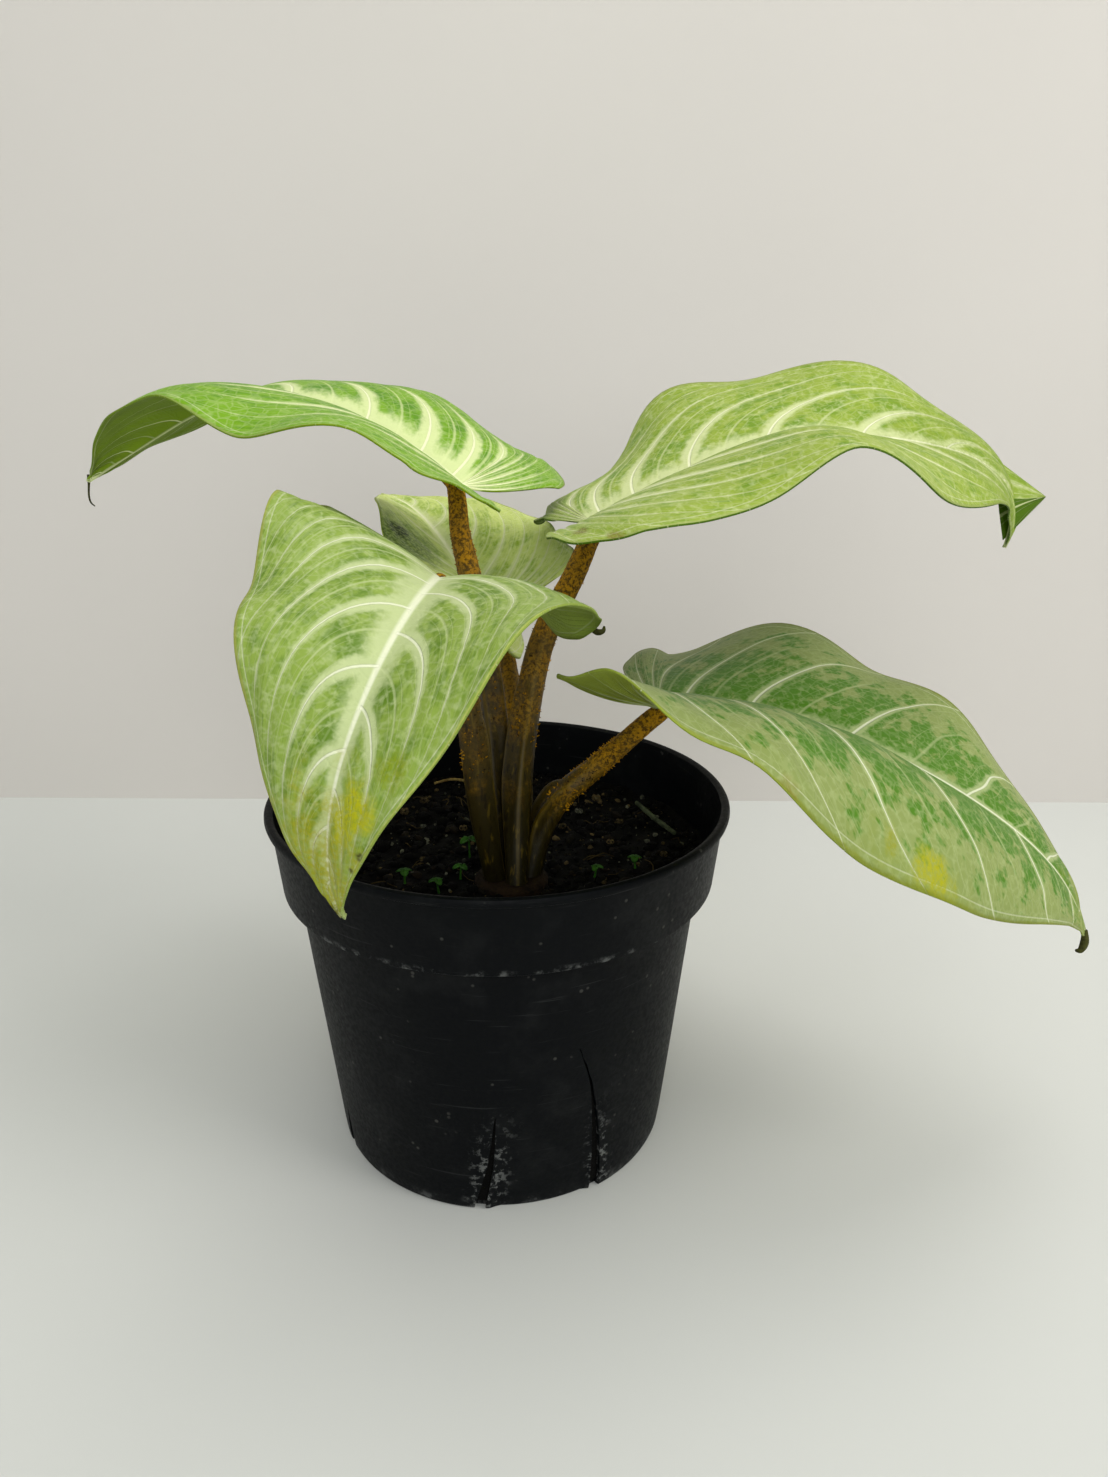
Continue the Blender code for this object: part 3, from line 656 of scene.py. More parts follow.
    def lower(self, length: float) -> bpy.types.Material:
        """Build the under side: duller, paler and with proud veins.

        Args:
            length: the blade's length in millimetres.

        Returns:
            The material.
        """
        made, graph, shader = surface(f"Leaf {self.name} under")
        veins, flat, _ = self.masks(graph, length)
        tone = graph.span(graph.grain(flat, self.UNDER_SCALE, 4.0), 0.3, 0.7)
        under = paint(self.under)
        colour = graph.blend(tone, under, tuple(part * self.UNDER_LIGHTER for part in under))
        for vein, strength in (("Secondary", self.UNDER_FINE_STRENGTH), ("Primary", self.UNDER_VEIN_STRENGTH),
                               ("Midrib", self.UNDER_VEIN_STRENGTH)):
            colour = graph.blend(graph.maths("MULTIPLY", veins[vein], strength), colour, paint(self.pale))
        graph.feed(shader.inputs["Base Color"], colour)
        shader.inputs["Roughness"].default_value = 0.6
        shader.inputs["Specular IOR Level"].default_value = 0.15
        height = graph.maths("MULTIPLY_ADD", veins["Net"], 0.2, veins["Primary"])
        relief(graph, shader, graph.maths("MAXIMUM", height, veins["Secondary"]), self.UNDER_RELIEF)
        return made


@dataclass(frozen=True)
class StalkSkin:
    """Olive stalk with brown dashes below and rough golden scurf above."""

    low: str = "1E1A06"
    mid: str = "46380C"
    scurf: str = "B98608"
    dash: str = "171005"
    gold: str = "A88A24"

    CLOUD_SCALE = 130.0
    DASH_SCALE = 900.0
    FLECK_SCALE = 620.0
    GRIT_SCALE = 950.0
    RELIEF_SCALE = 1500.0
    DRAWN_OUT = 0.22                 # dashes run this much slower up the stalk than round it
    SCURF_RANGE = (0.16, 0.74)       # shares of the stalk between which the scurf thickens
    SCURF_DARKER = 0.2
    RIDGE_TURN = 0.12                # where the sheath's edges run, in turns from the back
    RIDGE_WIDTH = (0.012, 0.035)
    RIDGE_END = (0.52, 0.44)

    def build(self) -> bpy.types.Material:
        """Build the stalk material, which reads the map of turn and share.

        Returns:
            The material.
        """
        made, graph, shader = surface("Leaf stalk skin")
        turn, share = graph.uv("stalk")
        here = graph.here()
        x, y, z = graph.parts(here)
        drawn = graph.vector(x, y, graph.maths("MULTIPLY", z, self.DRAWN_OUT))
        colour = graph.blend(graph.span(share, 0.0, 0.5), paint(self.low), paint(self.mid))
        dashes = graph.span(graph.grain(drawn, self.DASH_SCALE, 2.0), 0.56, 0.64)
        colour = graph.blend(graph.maths("MULTIPLY", dashes, 0.7), colour, paint(self.dash))
        flecks = graph.span(graph.grain(drawn, self.FLECK_SCALE, 2.0), 0.60, 0.7)
        colour = graph.blend(graph.maths("MULTIPLY", flecks, 0.15), colour, paint(self.gold))

        cloud = graph.maths("SUBTRACT", graph.grain(here, self.CLOUD_SCALE, 4.0, 0.6), 0.5)
        top = graph.span(graph.maths("MULTIPLY_ADD", cloud, 0.7, share), *self.SCURF_RANGE)
        grit = graph.span(graph.grain(here, self.GRIT_SCALE, 3.0, 0.7), 0.42, 0.60)
        golden = paint(self.scurf)
        scurf = graph.blend(grit, golden, tuple(part * self.SCURF_DARKER for part in golden))
        colour = graph.blend(graph.maths("MULTIPLY", top, 0.92), colour, scurf)

        ridge = graph.maths("ABSOLUTE", graph.maths("SUBTRACT", turn, 0.5))
        ridge = graph.maths("ABSOLUTE", graph.maths("SUBTRACT", ridge, self.RIDGE_TURN))
        edge = graph.maths("MULTIPLY", graph.span(ridge, *self.RIDGE_WIDTH, 1.0, 0.0),
                           graph.span(share, *self.RIDGE_END))
        colour = graph.blend(graph.maths("MULTIPLY", edge, 0.1), colour, paint(self.gold))
        graph.feed(shader.inputs["Base Color"], colour)
        graph.feed(shader.inputs["Roughness"], graph.span(top, 0.0, 1.0, 0.42, 0.8))
        shader.inputs["Specular IOR Level"].default_value = 0.2
        height = graph.maths("MULTIPLY", graph.grain(here, self.RELIEF_SCALE, 3.0, 0.7),
                             graph.maths("ADD", top, 0.15))
        relief(graph, shader, height, 0.6)
        return made


@dataclass(frozen=True)
class PotPlastic:
    """Satin black moulded plastic with dust in the collar's crease and pale scuffs low down."""

    black: str = "040608"
    dust: str = "6E706E"
    crease_height: float = 94.4
    torn_height: float = 46.0
    SPLIT_MARKS = ((2.4, -0.06, 0.16), (-1.9, 0.64, 0.11))   # radians per metre up, at the foot, and wide
    SCUFF_SCALE = 160.0
    TEAR_SCALE = 420.0
    GRAIN_SCALE = 700.0
    DUST_STRENGTH = 0.03
    SPECK_COLOUR = "A8A69C"

    def torn(self, graph: Graph, here: Socket) -> Socket:
        """Mask the whitened plastic beside the two front splits.

        Args:
            graph: the material's graph.
            here: Object coordinates.

        Returns:
            The mask.
        """
        x, y, z = graph.parts(here)
        turn = graph.maths("ARCTAN2", x, graph.maths("MULTIPLY", y, -1.0))
        low = graph.span(z, 6.0 * MM, self.torn_height * MM, 1.0, 0.0)
        bands = []
        for slope, start, width in self.SPLIT_MARKS:
            lean = graph.maths("MULTIPLY_ADD", z, slope, start)
            away = graph.maths("ABSOLUTE", graph.maths("SUBTRACT", turn, lean))
            bands.append(graph.span(away, 0.02, width, 1.0, 0.0))
        near = graph.maths("MULTIPLY", graph.maths("MAXIMUM", *bands), low)
        return graph.maths("MULTIPLY", near, graph.span(
            graph.grain(here, self.TEAR_SCALE, 5.0, 0.7), 0.52, 0.62))

    def build(self) -> bpy.types.Material:
        """Build the plastic, which reads Object coordinates.

        Returns:
            The material.
        """
        made, graph, shader = surface("Pot plastic moulded")
        here = graph.here()
        marks = graph.group(DUST, Vector=here)
        _, _, z = graph.parts(here)
        crease = graph.maths("ABSOLUTE", graph.maths("SUBTRACT", z, self.crease_height * MM))
        crease = graph.span(crease, 0.2 * MM, 2.2 * MM, 1.0, 0.0)
        foot = graph.span(z, 0.5 * MM, 5.0 * MM, 1.0, 0.0)
        worn = graph.maths("MAXIMUM", graph.maths("MULTIPLY", crease, 0.55),
                           graph.maths("MULTIPLY", foot, 0.5))
        worn = graph.maths("MULTIPLY", worn, graph.span(
            graph.grain(here, self.SCUFF_SCALE, 5.0, 0.7), 0.5, 0.66))
        worn = graph.maths("MAXIMUM", worn, graph.maths("MULTIPLY", self.torn(graph, here), 0.8))
        cloudy = graph.maths("MULTIPLY", marks["Dust"], self.DUST_STRENGTH)
        colour = graph.blend(graph.maths("MAXIMUM", cloudy, worn), paint(self.black), paint(self.dust))
        colour = graph.blend(graph.maths("MULTIPLY", marks["Specks"], 0.09), colour, paint(self.SPECK_COLOUR))
        colour = graph.blend(graph.maths("MULTIPLY", marks["Scratches"], 0.07), colour, paint(self.dust))
        graph.feed(shader.inputs["Base Color"], colour)
        grain = graph.grain(here, self.GRAIN_SCALE, 3.0)
        graph.feed(shader.inputs["Roughness"], graph.span(grain, 0.3, 0.7, 0.42, 0.56))
        shader.inputs["Specular IOR Level"].default_value = 0.07
        relief(graph, shader, grain, 0.06)
        return made


class Tone(Enum):
    """What a loose bit on the soil is made of; the soil's tones are also painted darker, as painted shade
    deep inside the pot.
    """

    # Painted shade: the soil and the bits lying in it are darkened towards black, over their own dark colour,
    # for the shade deep inside the pot.
    MIX = ("030302", "070605", 0.95)
    BARK = ("0A0804", "1A130A", 0.9)
    SAND = ("2A2416", "5C4E32", 0.9)
    PUMICE = ("2E302A", "686858", 0.95)
    FIBRE = ("221A0C", "463A1E", 0.85)
    SPRIG = ("163A08", "34641A", 0.55)
    STRAW = ("6E5A32", "A08850", 0.75)
    STICK = ("2C3222", "505840", 0.8)
    CROWN = ("120C07", "281C10", 0.9)
    SCURF = ("1C1003", "C08A14", 0.85)
    DRIED = ("26240A", "44461A", 0.6)


@dataclass(frozen=True)
class GroundStuff:
    """Rough natural matter in two tones."""

    tone: Tone
    grain: float = 420.0
    relief: float = 0.4

    def build(self) -> bpy.types.Material:
        """Build the material from its tone, with coarse blotches and fine grain.

        Returns:
            The material.
        """
        dark, light, roughness = self.tone.value
        made, graph, shader = surface(f"Ground {self.tone.name.lower()}")
        here = graph.here()
        coarse = graph.grain(here, self.grain * 0.35, 2.0)
        fine = graph.grain(here, self.grain * 2.2, 4.0, 0.65)
        mixed = graph.maths("MULTIPLY_ADD", coarse, 0.6, graph.maths("MULTIPLY", fine, 0.4))
        mask = graph.span(mixed, 0.38, 0.6)
        graph.feed(shader.inputs["Base Color"], graph.blend(mask, paint(dark), paint(light)))
        shader.inputs["Roughness"].default_value = roughness
        shader.inputs["Specular IOR Level"].default_value = 0.12
        relief(graph, shader, fine, self.relief)
        return made


# ------------------------------------------------------------------ pieces

def add_piece(name: str, mesh_builder: bmesh.types.BMesh, materials: list,
              stands_for: tuple[str, ...] = (), sharp_angle: float = 60.0) -> bpy.types.Object:
    """Turn a bmesh into a finished piece that rides on the object's body.

    Args:
        name: the piece's name.
        mesh_builder: its bmesh, freed here.
        materials: its materials in slot order.
        stands_for: the CAD nodes that it replaces.
        sharp_angle: the angle, in degrees, past which an edge stays sharp.

    Returns:
        The object.
    """
    mesh = bpy.data.meshes.new(name)
    mesh_builder.to_mesh(mesh)
    mesh_builder.free()
    mesh.shade_smooth()
    mesh.set_sharp_from_angle(angle=math.radians(sharp_angle))
    for material in materials:
        mesh.materials.append(material)
    made = bpy.data.objects.new(name, mesh)
    bpy.context.scene.collection.objects.link(made)
    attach(made, BODY)
    if stands_for:
        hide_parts(*stands_for)
    LOG.info("%s: %d faces", name, len(mesh.polygons))
    return made


def pull(bm: bmesh.types.BMesh, face: bmesh.types.BMFace) -> bmesh.types.BMFace:
    """Extrude one face and return its new end; a lone face keeps its underside.

    Args:
        bm: the mesh.
        face: the face to extrude.

    Returns:
        The new end face.
    """
    lone = all(len(edge.link_faces) == 1 for edge in face.edges)
    grown = bmesh.ops.extrude_face_region(bm, geom=[face])["geom"]
    if not lone:
        bmesh.ops.delete(bm, geom=[face], context="FACES_ONLY")
    return next(part for part in grown if isinstance(part, bmesh.types.BMFace))


def turned(profile: list, segments: int, centre: tuple[float, float] = (0.0, 0.0)) -> bmesh.types.BMesh:
    """Spin a (radius, height) profile, in millimetres, about the upright line through centre.

    Args:
        profile: (radius, height) corners in order.
        segments: steps round the turn.
        centre: x and y of the axis, in millimetres.

    Returns:
        The mesh.
    """
    bm = bmesh.new()
    corners = [bm.verts.new(((centre[0] + radius) * MM, centre[1] * MM, height * MM))
               for radius, height in profile]
    for first, second in zip(corners, corners[1:]):
        bm.edges.new((first, second))
    bmesh.ops.spin(bm, geom=bm.verts[:] + bm.edges[:], cent=(centre[0] * MM, centre[1] * MM, 0.0),
                   axis=(0.0, 0.0, 1.0), steps=segments, angle=math.tau, use_merge=True)
    bmesh.ops.remove_doubles(bm, verts=bm.verts[:], dist=0.01 * MM)
    bmesh.ops.recalc_face_normals(bm, faces=bm.faces[:])
    return bm


# A direction that no path runs along, to turn the tube's cross-sections by
ASKEW = (0.31, 0.17, 0.93)


def tube(bm: bmesh.types.BMesh, path: list, radii: list, sides: int) -> None:
    """Extrude a disc along a path of points, both in millimetres, with a radius at each point.

    Args:
        bm: the mesh the tube is added to.
        path: the points of its middle.
        radii: a radius for each point.
        sides: corners round the tube.
    """
    points = [Vector(point) for point in path]
    before = set(bm.verts)
    bmesh.ops.create_circle(bm, cap_ends=True, segments=sides, radius=1.0)
    cap = next(face for face in reversed(bm.faces[:]) if all(vert not in before for vert in face.verts))
    turns = {vert: math.atan2(vert.co.y, vert.co.x) for vert in cap.verts}
    order = [turns[vert] for vert in cap.verts]
    for index, (centre, radius) in enumerate(zip(points, radii)):
        ahead = points[min(index + 1, len(points) - 1)] - points[max(index - 1, 0)]
        side = ahead.cross(Vector(ASKEW)).normalized()
        up = side.cross(ahead).normalized()
        if index:
            cap = pull(bm, cap)
        for vert, turn in zip(cap.verts, order):
            vert.co = (centre + (side * math.cos(turn) + up * math.sin(turn)) * radius) * MM
    faces = [face for face in bm.faces if any(vert not in before for vert in face.verts)]
    bmesh.ops.recalc_face_normals(bm, faces=faces)


# ------------------------------------------------------------------ leaves

@dataclass(frozen=True)
class Side:
    """One half of a blade: angles in degrees, width and lobe as shares, wave as a share of the length."""

    width: float
    fold: tuple
    curl: tuple
    lobe_tilt: float
    lobe_length: float
    wave: tuple


# Millimetres from the midrib over which the blade thickens, and how much less that is at the tip
RIB_REACH = (2.0, 1.2)
# How much of the midrib's thickness is gone at the tip
RIB_FADE = 0.8


@dataclass
class LeafBlade:
    """An arrow-shaped blade: a flat outline with rows along its side veins, bent into place."""

    name: str
    base: Place
    length: float
    pitch: tuple
    heading: tuple
    left: Side
    right: Side
    skin: LeafSkin
    thickness: float = 0.55
    columns: int = 44
    rows: int = 110
    quilt: float = 0.5
    flutter: float = 1.1
    rib_swell: float = 1.5

    MARGIN = ((0.0, 0.0), (0.045, -0.10), (0.11, -0.20), (0.19, -0.245), (0.27, -0.19), (0.325, -0.04),
              (0.345, 0.13), (0.325, 0.32), (0.27, 0.50), (0.19, 0.68), (0.10, 0.84),
               (0.035, 0.94), (0.0, 1.0))
    LOBE_TIP_POINT = 3
    LOBE_REACH = 0.3
    FAN_END = 0.15
    SINUS_BULGE = 0.23
    VEIN_BULGE = 0.33
    SAMPLES = 80
    MIDRIB_STATIONS = (0.0, 0.25, 0.5, 0.75, 1.0)
    FOLD_STATIONS = (0.0, 0.33, 0.67, 1.0)
    CURL_STATIONS = (0.0, 0.5, 1.0)

    def __post_init__(self) -> None:
        """Run the midrib through space from its pitch and heading stations."""
        self.share = np.linspace(0.0, 1.0, self.SAMPLES + 1)
        pitch = np.radians([read_between(self.MIDRIB_STATIONS, self.pitch, at) for at in self.share])
        self.turn = np.radians([read_between(self.MIDRIB_STATIONS, self.heading, at) for at in self.share])
        self.tangent = direction(self.turn, pitch)
        self.midrib = run_line(self.tangent, 1.0 / self.SAMPLES)

    def margin_point(self, share: float) -> np.ndarray:
        """Point of the flat half margin, from the lobe's tip (0) to the blade's tip (1)."""
        spans = len(self.MARGIN) - self.LOBE_TIP_POINT
        return through_points(self.MARGIN[self.LOBE_TIP_POINT - 1:], (1.0 + share * (spans - 1)) / spans)

    def flat_point(self, across: float, row: float) -> tuple[float, float]:
        """Flat place, in blade lengths, on a row that follows a side vein.

        Args:
            across: share across the half blade, negative on the left.
            row: share along the midrib.

        Returns:
            Place on the flat leaf.
        """
        edge = self.margin_point(row)
        start = np.array([0.0, (max(edge[1] - self.FAN_END, 0.0) / (1.0 - self.FAN_END)) ** 2])
        chord = edge - start
        bulge = self.SINUS_BULGE + (self.VEIN_BULGE - self.SINUS_BULGE) * smooth_step(0.0, 0.25, row)
        bow = (start + edge) / 2.0 + bulge * np.array([chord[1], -chord[0]])
        share = abs(across)
        flat = start * (1.0 - share) ** 2 + 2.0 * bow * share * (1.0 - share) + edge * share ** 2
        return (-flat[0] if across < 0.0 else flat[0]), flat[1]

    def spacing(self, across: float, row: float) -> tuple[float, float]:
        """Metres that one unit of row, and one of across, stand for at a place.

        Args:
            across: share across the half blade, negative on the left.
            row: share along the midrib.

        Returns:
            The measure for the vein group.
        """
        high, low = min(row + 0.01, 1.0), max(row - 0.01, 0.0)
        far = abs(across)
        spread = math.dist(self.flat_point(far, high), self.flat_point(far, low)) / (high - low)
        breadth = math.dist(self.flat_point(1.0, row), self.flat_point(0.8, row)) / 0.2
        return spread * self.length * MM, breadth * self.length * MM

    def lobe_frame(self, half: Side, back: float) -> tuple[np.ndarray, np.ndarray]:
        """Middle line and tangent at a distance back from the stalk, inside a lobe."""
        steps = np.linspace(0.0, back, 9)
        pitch = np.radians(self.pitch[0] + half.lobe_tilt * steps / self.LOBE_REACH)
        tangents = direction(np.full(9, self.turn[0]), pitch)
        return -run_line(tangents, back / 8.0)[-1], tangents[-1]

    def bend(self, across: float, along: float) -> np.ndarray:
        """Place in space of a flat point.

        Args:
            across: distance from the midrib in blade lengths, left negative.
            along: distance from the stalk in blade lengths, towards the tip.

        Returns:
            The point in millimetres.
        """
        half = self.left if across < 0.0 else self.right
        side = -1.0 if across < 0.0 else 1.0
        reach = along * half.lobe_length if along < 0.0 else along
        if reach < 0.0:
            middle, tangent = self.lobe_frame(half, -reach)
            turn = self.turn[0]
        else:
            middle = np.array([np.interp(reach, self.share, self.midrib[:, axis]) for axis in range(3)])
            tangent = np.array([np.interp(reach, self.share, self.tangent[:, axis]) for axis in range(3)])
            tangent /= np.linalg.norm(tangent)
            turn = np.interp(reach, self.share, self.turn)
        sideways = np.array([math.cos(turn), -math.sin(turn), 0.0])
        upward = np.cross(sideways, tangent)
        angle = math.radians(read_between(self.FOLD_STATIONS, half.fold, reach))
        curve = math.radians(read_between(self.CURL_STATIONS, half.curl, reach)) / 0.3
        curve = curve if abs(curve) > 0.001 else 0.001
        width = abs(across)
        last = angle + curve * width * half.width
        out = (math.sin(last) - math.sin(angle)) / curve
        rise = (math.cos(angle) - math.cos(last)) / curve
        height, count, phase = half.wave
        ripple = height / 100.0 * math.sin(math.tau * (count * along + phase)) * (width / 0.3) ** 2
        ripple *= min(max((along + 0.25) / 0.3, 0.0), 1.0)
        place = (middle + sideways * side * (out - ripple * math.sin(last))
                 + upward * (rise + ripple * math.cos(last)))
        return np.array(self.base, float) + place * self.length

    def stalk_end(self, depth: float) -> list[np.ndarray]:
        """Last points of the stalk: it meets the blade from below and runs out along the midrib.

        Args:
            depth: how far below the blade the first point lies, in millimetres.

        Returns:
            The points in millimetres.
        """
        sideways = np.array([math.cos(self.turn[0]), -math.sin(self.turn[0]), 0.0])
        points = []
        for reach, sink in ((0.0, depth), (0.035, depth * 0.62), (0.08, depth * 0.42)):
            middle = np.array([np.interp(reach, self.share, self.midrib[:, axis]) for axis in range(3)])
            upward = np.cross(sideways, self.tangent[0])
            points.append(np.array(self.base, float) + middle * self.length - upward * sink)
        return points

    def lift(self, across: float, row: float) -> float:
        """Height in millimetres that the blade swells between its side veins.

        Args:
            across: share across the half blade, negative on the left.
            row: share along the midrib.

        Returns:
            The lift in millimetres.
        """
        phase = (row - self.skin.sweep * across * across) * self.skin.count
        phase += self.skin.shift if across > 0.0 else 0.0
        between = math.sin(math.pi * ((phase - 0.5) % 1.0)) ** 0.8
        far = abs(across)
        swell = self.quilt * between * smooth_step(0.0, 0.16, far) * smooth_step(1.0, 0.8, far)
        flutter = self.flutter * noise.noise(Vector((across * 3.0, row * 13.0, self.length)))
        return swell + flutter * smooth_step(0.55, 1.0, far) - self.quilt * 0.6

    def build(self) -> bpy.types.Object:
        """Build the blade with its maps of rows, flat place and spacing, its swelling and its thickness.

        Returns:
            The piece.
        """
        bm = bmesh.new()
        bmesh.ops.create_grid(bm, x_segments=self.columns, y_segments=self.rows, size=1.0)
        thick = bm.verts.layers.deform.new()
        maps = {name: bm.loops.layers.uv.new(name) for name in ("rows", "flat", "metric")}
        keys = {vert: (vert.co.x, (vert.co.y + 1.0) / 2.0) for vert in bm.verts}
        flats = {vert: self.flat_point(*key) for vert, key in keys.items()}
        spacing = {vert: self.spacing(*key) for vert, key in keys.items()}
        for face in bm.faces:
            sign = -1.0 if sum(keys[loop.vert][0] for loop in face.loops) < 0.0 else 1.0
            for loop in face.loops:
                across, row = keys[loop.vert]
                x, y = flats[loop.vert]
                loop[maps["rows"]].uv = (sign * max(abs(across), 0.0001), row)
                loop[maps["flat"]].uv = (x * self.length * MM, y * self.length * MM)
                loop[maps["metric"]].uv = spacing[loop.vert]
        for vert in bm.verts:
            vert.co = Vector(self.bend(*flats[vert])) * MM
        bm.normal_update()
        if sum(vert.normal.z for vert in bm.verts) < 0.0:
            bmesh.ops.reverse_faces(bm, faces=bm.faces[:])
            bm.normal_update()
        lifted = {vert: vert.co + vert.normal * self.lift(*keys[vert]) * MM for vert in bm.verts}
        for vert, place in lifted.items():
            x, y = flats[vert]
            from_rib = math.hypot(x, min(y, 0.0)) * self.length
            reach = RIB_REACH[0] - RIB_REACH[1] * max(y, 0.0)
            rib = math.exp(-(from_rib / reach) ** 2) * (1.0 - RIB_FADE * smooth_step(0.0, 1.0, y))
            vert[thick][0] = min(self.thickness / (self.thickness + self.rib_swell) + rib, 1.0)
            vert.co = place
        bmesh.ops.remove_doubles(bm, verts=bm.verts[:], dist=0.02 * MM)
        materials = [self.skin.upper(self.length), self.skin.lower(self.length)]
        made = add_piece(f"blade_{self.name}", bm, materials, (f"leaf_blade_{self.name}",))
        made.vertex_groups.new(name="rib")
        solid = made.modifiers.new("Thickness", "SOLIDIFY")
        solid.thickness = (self.thickness + self.rib_swell) * MM
        solid.offset = -1.0
        solid.vertex_group = "rib"
        solid.material_offset = 1
        solid.material_offset_rim = 1
        return made


@dataclass
class DriedEnd:
    """A thin withered end of a blade, curled on its own."""

    name: str
    path: tuple
    radii: tuple
    steps: int = 18

    def build(self, material: bpy.types.Material) -> bpy.types.Object:
        """Sweep a disc along the end's curve.

        Args:
            material: what it is made of.

        Returns:
            The piece.
        """
        bm = bmesh.new()
        shares = [step / self.steps for step in range(self.steps + 1)]
        stations = tuple(index / (len(self.radii) - 1) for index in range(len(self.radii)))
        tube(bm, [through_points(list(self.path), share) for share in shares],
             [read_between(stations, self.radii, share) for share in shares], 10)
        return add_piece(self.name, bm, [material])


@dataclass
class TurnedTip:
    """The end of a blade where it folds over: above the fold its face shows, below it its back."""

    name: str
    top: Place
    hinge: Place
    point: Place
    corner: Place
    steps: int = 16
    bulge: float = 1.2

    def build(self, blade: LeafBlade) -> bpy.types.Object:
        """Spread a grid from the three left-hand points to the fold's outer corner.

        Args:
            blade: the blade whose skin it carries on.

        Returns:
            The piece.
        """
        bm = bmesh.new()
        bmesh.ops.create_grid(bm, x_segments=self.steps, y_segments=self.steps, size=1.0)
        maps = {name: bm.loops.layers.uv.new(name) for name in ("rows", "flat", "metric")}
        keys = {vert: ((vert.co.x + 1.0) / 2.0, (vert.co.y + 1.0) / 2.0) for vert in bm.verts}
        for face in bm.faces:
            middle = sum(keys[loop.vert][1] for loop in face.loops) / len(face.loops)
            face.material_index = 0 if middle < 0.5 else 1
            for loop in face.loops:
                out, down = keys[loop.vert]
                loop[maps["rows"]].uv = (-0.35 - 0.5 * abs(down - 0.5), 0.80 + 0.15 * down + 0.02 * out)
                along = (0.86 + 0.1 * down) * blade.length * MM
                loop[maps["flat"]].uv = (-0.010 * (1.0 - out) - 0.001, along)
                loop[maps["metric"]].uv = (0.16, 0.02)
        for vert, (out, down) in keys.items():
            left = through_points([self.top, self.hinge, self.point], down)
            place = left + (np.array(self.corner) - left) * out
            swell = self.bulge * math.sin(math.pi * out) * math.sin(math.pi * down)
            vert.co = Vector(place + np.array((0.0, -swell, -0.3 * swell))) * MM
        bmesh.ops.remove_doubles(bm, verts=bm.verts[:], dist=0.02 * MM)
        made = add_piece(self.name, bm, [blade.skin.upper(blade.length), blade.skin.lower(blade.length)])
        solid = made.modifiers.new("Thickness", "SOLIDIFY")
        solid.thickness = blade.thickness * 0.7 * MM
        solid.offset = 0.0
        return made


